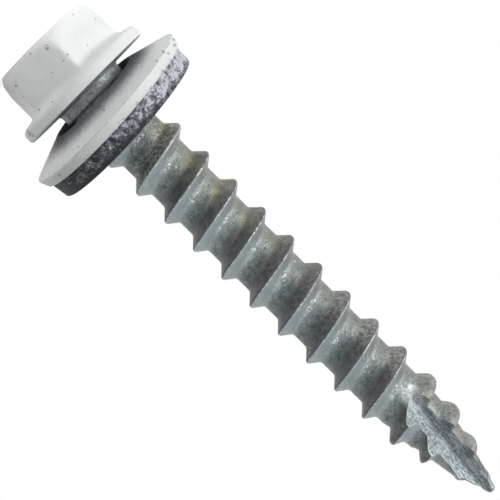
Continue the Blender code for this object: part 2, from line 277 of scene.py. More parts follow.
class Shader:
    """A node tree with short ways to add nodes and join them."""

    def __init__(self, tree: bpy.types.NodeTree) -> None:
        """Takes the tree that the nodes go into."""
        self.tree = tree

    def node(self, kind: str, inputs: dict[object, object], **settings: object) -> bpy.types.Node:
        """Adds a node.

        Args:
            kind: The node's type.
            inputs: Values or signals by input name or number.
            **settings: Values for the node's own properties.

        Returns:
            The new node.
        """
        made = self.tree.nodes.new(kind)
        for key, value in settings.items():
            setattr(made, key, value)
        for key, value in inputs.items():
            self.feed(made.inputs[key], value)
        return made

    def feed(self, socket: bpy.types.NodeSocket, value: object) -> None:
        """Links an input to a signal, or sets it to a number, a vector or a colour.

        Args:
            socket: The input.
            value: What it gets.
        """
        if isinstance(value, Signal):
            self.tree.links.new(value.socket, socket)
        elif socket.type == "RGBA":
            socket.default_value = (*value, 1.0)
        else:
            socket.default_value = value

    def signals(self, kind: str, inputs: dict[object, object], *outputs: str) -> list[Signal]:
        """Adds a node and gives the outputs that are named."""
        made = self.node(kind, inputs)
        return [Signal(self, made.outputs[key]) for key in outputs]

    def signal(
        self, kind: str, inputs: dict[object, object], output: int | str = 0, **settings: object
    ) -> Signal:
        """Adds a node with its inputs and properties, and gives one output."""
        return Signal(self, self.node(kind, inputs, **settings).outputs[output])

    def math(self, operation: str, a: object, b: object = 0.0, clamped: bool = False) -> Signal:
        """Adds a Math node on two numbers."""
        return self.signal("ShaderNodeMath", {0: a, 1: b}, operation=operation, use_clamp=clamped)

    def vector(
        self, operation: str, a: object, b: object = (0.0, 0.0, 0.0), output: str = "Vector"
    ) -> Signal:
        """Adds a Vector Math node on two vectors."""
        return self.signal("ShaderNodeVectorMath", {0: a, 1: b}, output, operation=operation)

    def mix(self, factor: object, a: object, b: object) -> Signal:
        """Mixes two colours."""
        return self.signal("ShaderNodeMix", {"Factor": factor, 6: a, 7: b}, 2, data_type="RGBA")

    def blend(self, factor: object, a: object, b: object) -> Signal:
        """Mixes two numbers."""
        return self.signal("ShaderNodeMix", {"Factor": factor, 2: a, 3: b}, data_type="FLOAT")

    def noise(self, where: Signal, scale: object, detail: object, roughness: float = 0.5) -> Signal:
        """Adds noise of so many waves per millimetre."""
        inputs = {"Vector": where, "Scale": scale, "Detail": detail, "Roughness": roughness}
        return self.signal("ShaderNodeTexNoise", inputs)

    def axes(self, where: Signal) -> list[Signal]:
        """Splits a place into X, Y and Z."""
        return self.signals("ShaderNodeSeparateXYZ", {0: where}, "X", "Y", "Z")

    def reach(self, where: Signal) -> Signal:
        """A place's distance from the Z axis."""
        return self.vector("LENGTH", self.vector("MULTIPLY", where, (1.0, 1.0, 0.0)), output="Value")

    def millimetres(self, turn: Matrix | None = None) -> Signal:
        """Object coordinates in millimetres, in the frame of a leaning piece if one is given.

        Args:
            turn: The frame of the piece, where it leans.

        Returns:
            The place.
        """
        back = Matrix() if turn is None else turn.inverted()
        inputs = {"Vector": self.signal("ShaderNodeTexCoord", {}, "Object"), "Scale": (1 / MM,) * 3}
        inputs |= {"Rotation": back.to_euler("XYZ"), "Location": back.translation / MM}
        return self.signal("ShaderNodeMapping", inputs)

    def use(self, group: Group, where: Signal, **inputs: object) -> Signal:
        """Places a shader group with its values."""
        return self.signal("ShaderNodeGroup", {"where": where} | inputs, node_tree=group)


def new_group(name: str, effect: Callable[..., Signal], **inputs: object) -> Group:
    """Makes a shader group with one output.

    Args:
        name: The group's name.
        effect: Adds the nodes that lead from the inputs, given by name, to the result.
        **inputs: The inputs besides the place, with their defaults; a tuple makes a vector socket.

    Returns:
        The group.
    """
    tree = bpy.data.node_groups.new(name, "ShaderNodeTree")
    inputs = {"where": (0.0, 0.0, 0.0)} | inputs
    for key, value in inputs.items():
        kind = "NodeSocketVector" if isinstance(value, tuple) else "NodeSocketFloat"
        tree.interface.new_socket(key, in_out="INPUT", socket_type=kind).default_value = value
    tree.interface.new_socket("Result", in_out="OUTPUT", socket_type="NodeSocketFloat")
    shader = Shader(tree)
    given = shader.signals("NodeGroupInput", {}, *inputs)
    shader.node("NodeGroupOutput", {0: effect(shader, **dict(zip(inputs, given)))})
    return tree


@dataclass(frozen=True)
class Mottle:
    """Cloudy patches: their size in millimetres, and the noise values between which they set in."""

    size: float = 1.0
    low: float = 0.4
    high: float = 0.6
    detail: float = 4.0


@dataclass(frozen=True)
class Specks:
    """Small specks: how far apart their places lie in millimetres, and which share of these has one.

    Their size and how far their outline strays are shares of the spacing.
    """

    spacing: float = 0.3
    share: float = 0.3
    size: float = 0.3
    ragged: float = 0.15


@dataclass(frozen=True)
class Relief:
    """Soft lumps with a finer grain on them: their sizes and heights in millimetres."""

    lump: float = 0.8
    lump_height: float = 0.01
    grain: float = 0.1
    grain_height: float = 0.003


@dataclass(frozen=True)
class Edges:
    """Lines along edges, worn on the paint and a painted highlight on the flute: how near to an edge they
    start in millimetres, and how much of them is missing.
    """

    radius: float = 0.05
    gaps: float = 0.5


@dataclass(frozen=True)
class Ring:
    """A thin broken line round the axis, in millimetres, and how much of it is missing."""

    radius: float = 1.0
    height: float = 0.0
    width: float = 0.05
    gaps: float = 0.5


Pattern = Mottle | Specks | Relief | Edges | Ring


def mottle(shader: Shader, where: Signal, size: Signal, detail: Signal, low: Signal, high: Signal) -> Signal:
    """Masks cloudy patches: noise with a chosen size and contrast."""
    return shader.noise(where, shader.math("DIVIDE", 1.0, size), detail, 0.6).rise(low, high)


def specks(
    shader: Shader, where: Signal, spacing: Signal, share: Signal, size: Signal, ragged: Signal
) -> Signal:
    """Masks small round specks of uneven size, scattered at random.

    Args:
        shader: The group's node tree.
        where: The place in millimetres.
        spacing: How far apart the places for specks lie.
        share: The share of the places that has one.
        size: A speck's size as a share of the spacing.
        ragged: How far its outline strays, as such a share.

    Returns:
        The mask.
    """
    scale = shader.math("DIVIDE", 1.0, spacing)
    wobble = shader.signal("ShaderNodeTexNoise", {"Vector": where, "Scale": scale, "Detail": 3.0}, "Color")
    off_centre = shader.vector("SUBTRACT", wobble, (0.5, 0.5, 0.5))
    push = {0: off_centre, "Scale": ragged * spacing}
    pushed = shader.vector("ADD", where, shader.signal("ShaderNodeVectorMath", push, operation="SCALE"))
    cells = {"Vector": pushed, "Scale": scale}
    distance, tint = shader.signals("ShaderNodeTexVoronoi", cells, "Distance", "Color")
    chance, swell = shader.signals("ShaderNodeSeparateColor", {0: tint}, "Red", "Green")
    inside = size * (swell + 0.5) - distance
    return shader.math("LESS_THAN", chance, share) * inside.rise(0.0, 0.06)


def relief(
    shader: Shader, where: Signal, lump: Signal, lump_height: Signal, grain: Signal, grain_height: Signal
) -> Signal:
    """Gives a height in millimetres: soft lumps with a finer grain on them."""
    lumps = shader.noise(where, shader.math("DIVIDE", 1.0, lump), 2.0) * lump_height
    return lumps + shader.noise(where, shader.math("DIVIDE", 1.0, grain), 2.0) * grain_height


def spot(shader: Shader, where: Signal, centre: Signal, radius: Signal) -> Signal:
    """Masks one ragged fleck on the front side, at a given place seen from the front.

    Args:
        shader: The group's node tree.
        where: The place in millimetres.
        centre: The fleck's middle, with no Y.
        radius: About its radius.

    Returns:
        The mask.
    """
    flat = shader.vector("MULTIPLY", where, (1.0, 0.0, 1.0))
    ragged = shader.vector("DISTANCE", flat, centre, "Value") / radius + shader.noise(where, 11.0, 3.0) * 2.4
    return shader.math("LESS_THAN", shader.axes(where)[1], 0.0) * ragged.rise(2.2, 1.5)


def ring(
    shader: Shader, where: Signal, radius: Signal, height: Signal, width: Signal, gaps: Signal
) -> Signal:
    """Masks a thin broken line round the Z axis.

    Args:
        shader: The group's node tree.
        where: The place in millimetres.
        radius: The line's distance from the axis.
        height: Its height.
        width: Its width.
        gaps: How much of it is missing, from 0 to 1.

    Returns:
        The mask.
    """
    wobble = shader.noise(where, 2.2, 4.0)
    aside = shader.reach(where) - radius
    above = shader.axes(where)[2] - height
    apart = shader.math("SQRT", aside * aside + above * above)
    near = (apart / (width * (wobble * 2.0))).rise(1.0, 0.5)
    return near * (wobble - gaps * 0.5).rise(0.15, 0.3)


def edges(shader: Shader, where: Signal, radius: Signal, gaps: Signal) -> Signal:
    """Masks lines along edges: where the surface bends within a small radius, in broken stretches.

    Args:
        shader: The group's node tree.
        where: The place in millimetres.
        radius: How near to an edge the line starts.
        gaps: How much of it is missing, from 0 to 1.

    Returns:
        The mask.
    """
    bevel = shader.signal("ShaderNodeBevel", {"Radius": radius * MM}, samples=6)
    plain = shader.signal("ShaderNodeNewGeometry", {}, "Normal")
    bent = shader.vector("DOT_PRODUCT", bevel, plain, "Value").rise(0.985, 0.9)
    return bent * (shader.noise(where, 2.6, 4.0) - gaps * 0.5).rise(0.15, 0.3)


@dataclass(frozen=True)
class ThreadCourse:
    """The crest line's course in millimetres: its start, its pitch, and where and how fast that closes up."""

    start: float
    start_turn: float
    pitch: float
    closing_start: float
    closing_rate: float

    def across(self, shader: Shader, where: Signal) -> Signal:
        """A place between two crests, from -0.5 to 0.5 of a pitch: 0 on the crest, plus towards the tip.

        Args:
            shader: The group's node tree.
            where: The place in millimetres.

        Returns:
            The place across the thread.
        """
        x, y, z = shader.axes(where)
        closing = shader.math("MAXIMUM", z - self.closing_start, 0.0)
        turns = (z - self.start) / self.pitch + closing * closing * self.closing_rate
        phase = turns - shader.math("ARCTAN2", y, x) / FULL_TURN + self.start_turn
        return phase - shader.math("ROUND", phase)


class Effects:
    """The shader groups that the finishes share, each built once."""

    def __init__(self) -> None:
        """Builds one group for each kind of pattern, and one for flecks."""
        kinds = ((Mottle, mottle), (Specks, specks), (Relief, relief), (Edges, edges), (Ring, ring))
        self.groups = {kind: new_group(kind.__name__, effect, **asdict(kind())) for kind, effect in kinds}
        self.spot = new_group("Spot", spot, centre=(0.0, 0.0, 0.0), radius=0.2)


class Skin(Shader):
    """A new material's node tree and the inputs of its Principled BSDF."""

    def __init__(self, name: str) -> None:
        """Makes the material.

        Args:
            name: The material's name.
        """
        self.material = bpy.data.materials.new(name)
        self.material.use_nodes = True
        super().__init__(self.material.node_tree)
        self.inputs = self.tree.nodes["Principled BSDF"].inputs

    def finish(
        self, colour: object, roughness: object, metallic: object = 0.0, specular: float = 0.5
    ) -> None:
        """Sets the surface's colour and how it shines.

        Args:
            colour: The base colour.
            roughness: How rough it is.
            metallic: How much of it is metal.
            specular: How strongly it shines.
        """
        self.feed(self.inputs["Base Color"], colour)
        self.feed(self.inputs["Roughness"], roughness)
        self.feed(self.inputs["Metallic"], metallic)
        self.inputs["Specular IOR Level"].default_value = specular


class PatternedSkin(Skin):
    """A material with its coordinates in millimetres and the shared effects at hand."""

    def __init__(self, name: str, effects: Effects, turn: Matrix | None = None) -> None:
        """Makes the material.

        Args:
            name: The material's name.
            effects: The shared shader groups.
            turn: The frame of the piece, where it leans.
        """
        super().__init__(name)
        self.effects = effects
        self.where = self.millimetres(turn)
        self.x, self.y, self.z = self.axes(self.where)

    def place(self, pattern: Pattern) -> Signal:
        """Places the shared effect of a pattern's kind with the pattern's values."""
        return self.use(self.effects.groups[type(pattern)], self.where, **asdict(pattern))

    def box(self, across: Point, height: Point, soft: float) -> Signal:
        """Masks a soft-edged window on the front side, from and to these places along X and Z.

        Args:
            across: Where it starts and ends along X.
            height: Where it starts and ends along Z.
            soft: Half the width of its edge.

        Returns:
            The mask.
        """
        mask = self.math("LESS_THAN", self.y, 0.0)
        for axis, (low, high) in ((self.x, across), (self.z, height)):
            mask = mask * axis.within((low - soft, low + soft), (high + soft, high - soft))
        return mask

    def bump(self, relief: Relief, *more: Signal) -> None:
        """Bends the normals by a relief.

        Args:
            relief: The relief.
            *more: Further heights to add, in millimetres.
        """
        height = self.place(relief)
        for extra in more:
            height = height + extra
        inputs = {"Height": height, "Distance": MM, "Strength": 1.0}
        self.feed(self.inputs["Normal"], self.signal("ShaderNodeBump", inputs))


# Finishes


@dataclass(frozen=True)
class Fleck:
    """A fleck of dirt in the paint, as seen from the front, in millimetres."""

    across: float
    height: float
    radius: float
    strength: float = 0.8


@dataclass(frozen=True)
class EdgeLine:
    """A thin line round a piece's axis, in its own colour and strength."""

    ring: Ring
    colour: Colour
    strength: float


@dataclass(frozen=True)
class WhitePaint:
    """Sprayed white paint, a little lumpy, with flecks of dirt, worn edges and a dark zone round the axis,
    unpainted metal darkened further as painted shade under the flange.
    """

    colour: Colour = (0.86, 0.87, 0.87)
    dull_colour: Colour = (0.76, 0.775, 0.775)
    dirt_colour: Colour = (0.17, 0.17, 0.18)
    edge_colour: Colour = (0.45, 0.45, 0.46)
    bare_colour: Colour = (0.14, 0.148, 0.168)
    roughness: float = 0.5
    dull_roughness: float = 0.62
    specular: float = 0.35
    patches: Mottle = Mottle(2.4, 0.35, 0.75)
    bare_outline: Mottle = Mottle(0.5, 0.2, 0.8)
    dust: Specks = Specks(0.8, 0.12, 0.1, 0.3)
    wear: Edges = Edges(0.045, 0.5)
    relief: Relief = Relief(1.1, 0.03, 0.16, 0.004)
    patch_strength: float = 0.7
    bare_strength: float = 0.88
    dust_strength: float = 0.4
    wear_strength: float = 0.5
    flecks: tuple[Fleck, ...] = ()
    lines: tuple[EdgeLine, ...] = ()
    bare_from: float = 0.0
    bare_to: float = 0.0

    def make(self, name: str, effects: Effects, turn: Matrix | None = None) -> Material:
        """Makes the material.

        Args:
            name: The material's name.
            effects: The shared shader groups.
            turn: The frame of the piece, where it leans.

        Returns:
            The material.
        """
        skin = PatternedSkin(name, effects, turn)
        patches = skin.place(self.patches)
        colour = skin.mix(patches * self.patch_strength, self.colour, self.dull_colour)
        # Dark zone round the hole: unpainted metal, and painted shade under the flange
        if self.bare_to > 0:
            reach = skin.reach(skin.where) + skin.place(self.bare_outline) * 0.5
            bare_and_shade = reach.rise(self.bare_to, self.bare_from) * self.bare_strength
            colour = skin.mix(bare_and_shade, colour, self.bare_colour)
        dirt = skin.place(self.dust) * self.dust_strength
        upright = skin.millimetres()
        for fleck in self.flecks:
            centre = (fleck.across, 0.0, fleck.height)
            mask = skin.use(effects.spot, upright, centre=centre, radius=fleck.radius)
            dirt = dirt.larger(mask * fleck.strength)
        colour = skin.mix(dirt, colour, self.dirt_colour)
        # Lines round the axis; on the cup, one of them is a painted highlight
        for line in self.lines:
            colour = skin.mix(skin.place(line.ring) * line.strength, colour, line.colour)
        colour = skin.mix(skin.place(self.wear) * self.wear_strength, colour, self.edge_colour)
        skin.finish(colour, skin.blend(patches, self.roughness, self.dull_roughness), 0.0, self.specular)
        skin.bump(self.relief)
        return skin.material


@dataclass(frozen=True)
class ZincPlate:
    """Dull zinc plating, mottled in the thread's roots, with a painted sheen on the flanks facing the point
    and painted shade on those facing the head.

    Zones run from their first value, where they are 0, to their second, in millimetres along Z. Sides
    do so along X, and what follows them in pitches from the crest. Of a pair, the second is the end.
    """

    light: Colour = (0.315, 0.35, 0.347)
    dark: Colour = (0.068, 0.106, 0.11)
    # smooth and smooth_side colour the painted sheen on the flank facing the point, darker on the side toward
    # the sun
    smooth: Colour = (0.505, 0.585, 0.605)
    smooth_side: Colour = (0.25, 0.275, 0.262)
    # shadowed, warm_shadowed, late_shadowed and near_washer colour the painted shade on the flank facing the
    # head
    shadowed: Colour = (0.108, 0.11, 0.116)
    fringe: Colour = (0.055, 0.055, 0.12)
    warm: Colour = (0.238, 0.242, 0.215)
    warm_shadowed: Colour = (0.2, 0.185, 0.15)
    late_shadowed: Colour = (0.33, 0.33, 0.31)
    stain: Colour = (0.32, 0.325, 0.235)
    golden: Colour = (0.19, 0.178, 0.085)
    near_washer: Colour = (0.58, 0.59, 0.55)
    collar_light: Colour = (0.53, 0.575, 0.585)
    collar_dark: Colour = (0.24, 0.265, 0.275)
    bright: Colour = (0.66, 0.69, 0.74)
    glint: Colour = (0.9, 0.93, 0.97)
    milled_light: Colour = (0.52, 0.59, 0.6)
    milled_dark: Colour = (0.13, 0.162, 0.18)
    milled_edge: Colour = (0.9, 0.93, 0.95)
    milled_blue: Colour = (0.07, 0.105, 0.135)
    lobe: Colour = (0.45, 0.455, 0.42)
    lobe_dark: Colour = (0.155, 0.165, 0.15)
    # web: a lighter grey for the point's web, painted light on its side turned from the sun
    web: Colour = (0.38, 0.41, 0.43)
    runout_light: Colour = (0.72, 0.77, 0.75)
    runout_dark: Colour = (0.3, 0.34, 0.34)
    root_patch: Colour = (0.05, 0.068, 0.066)
    pit: Colour = (0.045, 0.05, 0.052)
    metallic: float = 0.3
    milled_metallic: float = 0.25
    patches: Mottle = Mottle(0.62, 0.36, 0.66, 5.0)
    grain: Mottle = Mottle(0.16, 0.42, 0.58, 3.0)
    root_patches: Mottle = Mottle(0.45, 0.4, 0.58)
    shadow_pits: Mottle = Mottle(0.3, 0.44, 0.56, 5.0)
    line_breaks: Mottle = Mottle(0.3, 0.46, 0.62)
    blooms: Mottle = Mottle(0.6, 0.38, 0.64)
    gold_spots: Mottle = Mottle(0.34, 0.42, 0.56)
    milled_grain: Mottle = Mottle(0.17, 0.4, 0.6)
    milled_patches: Mottle = Mottle(0.5, 0.35, 0.55)
    pits: Specks = Specks(0.2, 0.4, 0.3, 0.8)
    crowded_glints: Specks = Specks(0.17, 0.6, 0.45, 0.8)
    lone_glints: Specks = Specks(0.23, 0.07, 0.28, 0.5)
    milled_glints: Specks = Specks(0.17, 0.25, 0.3, 0.8)
    milled_wear: Edges = Edges(0.13, 0.3)
    relief: Relief = Relief(0.4, 0.05, 0.13, 0.036)
    milled_relief: Relief = Relief(0.5, 0.05, 0.1, 0.012)
    scratch_height: float = 0.07
    thread_zone: Point = (7.8, 8.6)
    washer_zone: Point = (13.0, 10.5)
    stain_zone: Point = (26.0, 12.0)
    late_zone: Point = (22.0, 29.0)
    point_zone: Point = (32.5, 34.5)
    web_zone: Point = (38.2, 38.7)
    runout_zone: Point = (33.5, 35.2)
    stain_start_zone: Point = (7.0, 9.0)
    warm_side: Point = (0.9, -1.8)
    runout_side: Point = (-1.35, 0.0)
    milled_runout_side: Point = (-1.1, -0.1)
    web_side: Point = (0.25, 0.6)
    late_side: Point = (-0.4, -1.6)
    stain_side: Point = (0.7, -1.4)
    gold_side: Point = (-0.5, -1.2)
    root_sides: Band = ((1.7, 0.7), (-1.1, -0.3))
    glint_sides: Band = ((0.6, 0.25), (-0.8, -0.45))
    lone_glint_side: Point = (1.4, 0.6)
    glint_flank: Band = ((0.17, 0.22), (0.37, 0.3))
    gold_flank: Band = ((-0.44, -0.34), (-0.18, -0.26))
    crest_line: Band = ((-0.008, 0.006), (0.032, 0.018))
    fringe_line: Band = ((-0.05, -0.025), (0.0, -0.015))
    clean_start: Point = (-0.02, 0.02)
    clean_end: Point = (0.38, 0.2)
    dark_start: Point = (-0.5, -0.22)
    dark_end: Point = (0.03, 0.0)
    scratch_slant: float = math.radians(25.0)

    def make_rolled(self, name: str, effects: Effects, thread_place: Group) -> Material:
        """Makes the material of rolled surfaces: neck, thread and the collar above them.

        Args:
            name: The material's name.
            effects: The shared shader groups.
            thread_place: The group that tells where a place lies on the thread.

        Returns:
            The material.
        """
        skin = PatternedSkin(name, effects)
        patches = skin.place(self.patches)
        grain = skin.place(self.grain)
        both = skin.blend(0.45, patches, grain)
        # side is 1 on the side toward the sun
        side = skin.x.rise(*self.warm_side)
        point = skin.z.rise(*self.point_zone)
        on_thread = skin.z.rise(*self.thread_zone)
        colour = skin.mix(side * 0.6, skin.mix(both, self.dark, self.light), self.warm)
        colour = skin.mix(on_thread, skin.mix(both, self.collar_dark, self.collar_light), colour)

        # Forms of the cutting point, which the painted sheen and shade of the flanks leave free
        across = skin.use(thread_place, skin.where) - point * skin.x.rise(-0.4, 0.9) * 0.1
        right_point = point * side * 0.85
        web = skin.z.rise(*self.web_zone) * skin.x.rise(*self.web_side)
        runout = skin.box(self.runout_side, self.runout_zone, 0.3)
        shown = skin.math("SUBTRACT", on_thread - right_point.larger(web), runout, clamped=True)
        ridge = skin.math("ABSOLUTE", across).rise(0.42, 0.2)
        lobe = skin.mix(both * skin.blend(ridge, 0.5, 1.0), self.lobe_dark, self.lobe)
        colour = skin.mix(right_point * 0.8, colour, lobe)
        # The web gets a lighter grey, painted light on its side turned from the sun
        colour = skin.mix(web * 0.75, colour, self.web)

        # Dark patches in the roots, then the painted sheen on the flank facing the point and the painted
        # shade on the one facing the head
        low = skin.math("COSINE", (across + 0.35) * FULL_TURN).rise(0.05, 0.95)
        middle = skin.x.within(*self.root_sides)
        patch = skin.blend(skin.place(self.root_patches), 0.35, 1.0) * low * middle * on_thread * 0.8
        colour = skin.mix(patch, colour, self.root_patch)
        ragged = across + (skin.blend(0.5, patches, grain) - 0.5) * 0.2
        sheen_mask = ragged.rise(*self.clean_end) * across.rise(*self.clean_start) * shown
        # Painted sheen on the flank facing the point, darker on the side toward the sun
        colour = skin.mix(sheen_mask * 0.9, colour, skin.mix(side, self.smooth, self.smooth_side))
        # Painted shade on the flank facing the head: lighter toward the sun, near the washer and higher up on
        # the sun's side, with darker pits
        shadow = skin.mix(side * patches, self.shadowed, self.warm_shadowed)
        shadow = skin.mix(skin.z.rise(*self.washer_zone), shadow, self.near_washer)
        late = skin.z.rise(*self.late_zone) * skin.x.rise(*self.late_side)
        shadow = skin.mix(late, shadow, self.late_shadowed)
        shadow = skin.mix(skin.place(self.shadow_pits) * 0.7, shadow, self.pit)
        behind = ragged.rise(*self.dark_start) * across.rise(*self.dark_end) * shown
        colour = skin.mix(behind * 0.9, colour, shadow)
        # Painted highlight where the flute runs out into the thread, in place of the painted shade
        runout_highlight = skin.mix(both, self.runout_dark, self.runout_light)
        colour = skin.mix(runout * 0.85, colour, runout_highlight)

        # Stains, a painted highlight along the crest with a bluish line behind it, pits and painted glints
        colour = self.add_stain(skin, across, colour)
        # Painted highlight along the crest, in broken stretches
        line = across.within(*self.crest_line) * skin.place(self.line_breaks) * shown * 0.8
        colour = skin.mix(across.within(*self.fringe_line) * shown * 0.6, colour, self.fringe)
        pits = skin.math("SUBTRACT", skin.place(self.pits), sheen_mask, clamped=True) * 0.55
        colour = skin.mix(pits, colour, self.pit)
        shiny = line.larger(self.mask_glints(skin, across, point))
        colour = skin.mix(shiny, colour, self.glint)
        skin.finish(colour, skin.blend(both, 0.56, 0.38), skin.blend(shiny, self.metallic, 0.1))
        skin.bump(self.relief)
        return skin.material

    def make_milled(
        self, name: str, effects: Effects, thread_place: Group, valley: Point, tip: float
    ) -> Material:
        """Makes the material of the milled flute, with the slanting scratches that the cutter leaves.

        Args:
            name: The material's name.
            effects: The shared shader groups.
            thread_place: The group that tells where a place lies on the thread.
            valley: The valley's distance aside at the tip and how much it grows per height.
            tip: The tip's height.

        Returns:
            The material.
        """
        skin = PatternedSkin(name, effects)
        mapping = {"Vector": skin.where, "Rotation": (0.0, self.scratch_slant, 0.0), "Scale": (9.0, 9.0, 1.6)}
        slanted = skin.signal("ShaderNodeMapping", mapping)
        scratches = skin.noise(slanted, 1.0, 3.0)
        both = skin.blend(0.55, scratches.rise(0.36, 0.62), skin.place(self.milled_grain))
        colour = skin.mix(both, self.milled_dark, self.milled_light)

        # The right face is darker on the ridges and painted lighter elsewhere, as painted light on its side
        # turned from the sun; its facets lean to the light by turns
        below_tip = skin.math("SUBTRACT", tip, skin.z)
        past = skin.x + (below_tip * valley[1] + valley[0])
        right = past.rise(0.0, -0.1)
        root = skin.math("ABSOLUTE", skin.use(thread_place, skin.where)).rise(0.16, 0.3)
        dull = skin.place(self.milled_patches) * skin.blend(root, 0.7, 0.15)
        colour = skin.mix(right * dull, colour, self.milled_blue)
        # Painted light on the right face, stronger in the roots
        painted_lift = right * skin.blend(root, 0.3, 0.8)
        colour = skin.mix(painted_lift, colour, skin.mix(both, self.milled_light, self.bright))
        lean = skin.blend(skin.noise(slanted, 0.4, 2.0).rise(0.42, 0.6), 0.4, 1.5)

        colour = skin.mix(below_tip.rise(3.5, 5.5) * 0.17, colour, self.milled_dark)
        # Painted highlight where the flute runs out, then painted glints
        runout = skin.box(self.milled_runout_side, self.runout_zone, 0.25)
        runout_highlight = skin.mix(both, self.milled_light, self.milled_edge)
        colour = skin.mix(runout * 0.55, colour, runout_highlight)
        shiny = skin.place(self.milled_glints) * 0.6
        colour = skin.mix(shiny, colour, self.bright)
        # Painted highlight along the flute's edges
        colour = skin.mix(skin.place(self.milled_wear), colour, self.milled_edge)
        skin.finish(colour, skin.blend(both, 0.6, 0.46), skin.blend(shiny, self.milled_metallic, 0.5))
        skin.bump(self.milled_relief, scratches * self.scratch_height, past * right * lean)
        return skin.material

    def mask_glints(self, skin: PatternedSkin, across: Signal, point: Signal) -> Signal:
        """Masks painted glints, bright specks which crowd under the painted sheen of the flank where it faces
        the light.

        Args:
            skin: The material in the making.
            across: The place between two crests.
            point: 1 along the cutting point, where the specks lie everywhere.

        Returns:
            The mask.
        """
        facing = skin.x.within(*self.glint_sides) * skin.math("LESS_THAN", skin.y, 0.0)
        crowd = skin.place(self.crowded_glints) * across.within(*self.glint_flank) * facing
        lone = skin.place(self.lone_glints) * skin.x.rise(*self.lone_glint_side) * 0.6
        lone = lone * across.rise(0.0, 0.2).larger(point)
        return crowd.larger(lone)

    def add_stain(self, skin: PatternedSkin, across: Signal, colour: Signal) -> Signal:
        """Adds the yellowish bloom of the first turns, which gathers at the foot of the head-side flank.

        Args:
            skin: The material in the making.
            across: The place between two crests.
            colour: The colour so far.

        Returns:
            The colour with the bloom on it.
        """
        along = skin.z.within(self.stain_start_zone, self.stain_zone)
        bloom = along * skin.x.rise(*self.stain_side) * skin.place(self.blooms)
        foot = skin.math("COSINE", (across + 0.33) * FULL_TURN) * 0.4 + 0.45
        colour = skin.mix(bloom * foot, colour, self.stain)
        edge = across.within(*self.gold_flank) * skin.x.rise(*self.gold_side)
        gold = edge * along * skin.place(self.gold_spots) * 0.75
        return skin.mix(gold, colour, self.golden)


@dataclass(frozen=True)
class BlackRubber:
    """Black rubber with a pale overspray of the cup's paint, thick on one side and thin on the other."""

    colour: Colour = (0.028, 0.03, 0.037)
    dusty: Colour = (0.17, 0.18, 0.205)
    overspray: Colour = (0.63, 0.65, 0.71)
    roughness: float = 0.7
    specular: float = 0.3
    bare_edge: Point = (0.9, 1.2)
    dusty_from: Point = (0.64, 0.82)
    thick_from: Point = (0.83, 0.93)
    side_share: float = -0.026
    cloud_share: float = 0.5
    fine_share: float = 1.1
    dot_share: float = 0.4
    bare_share: float = 0.35
    relief: Relief = Relief(0.5, 0.04, 0.12, 0.02)

    def make(self, name: str, effects: Effects, turn: Matrix) -> Material:
        """Makes the material, in the washer's own frame.

        Args:
            name: The material's name.
            effects: The shared shader groups.
            turn: The washer's frame.

        Returns:
            The material.
        """
        skin = PatternedSkin(name, effects, turn)
        cloud = skin.noise(skin.where, 1.3, 2.0)
        fine = skin.noise(skin.where, 3.2, 6.0, 0.7)
        dots = skin.noise(skin.where, 9.0, 3.0) - 0.5
        upright_x = skin.axes(skin.millimetres())[0]
        amount = upright_x * self.side_share + cloud * self.cloud_share
        amount = amount + fine * self.fine_share + dots * self.dot_share
        amount = amount - skin.z.rise(*self.bare_edge) * cloud * self.bare_share
        colour = skin.mix(amount.rise(*self.dusty_from), self.colour, self.dusty)
        colour = skin.mix(amount.rise(*self.thick_from) * 0.9, colour, self.overspray)
        skin.finish(colour, self.roughness, 0.0, self.specular)
        skin.bump(self.relief)
        return skin.material


# Pieces


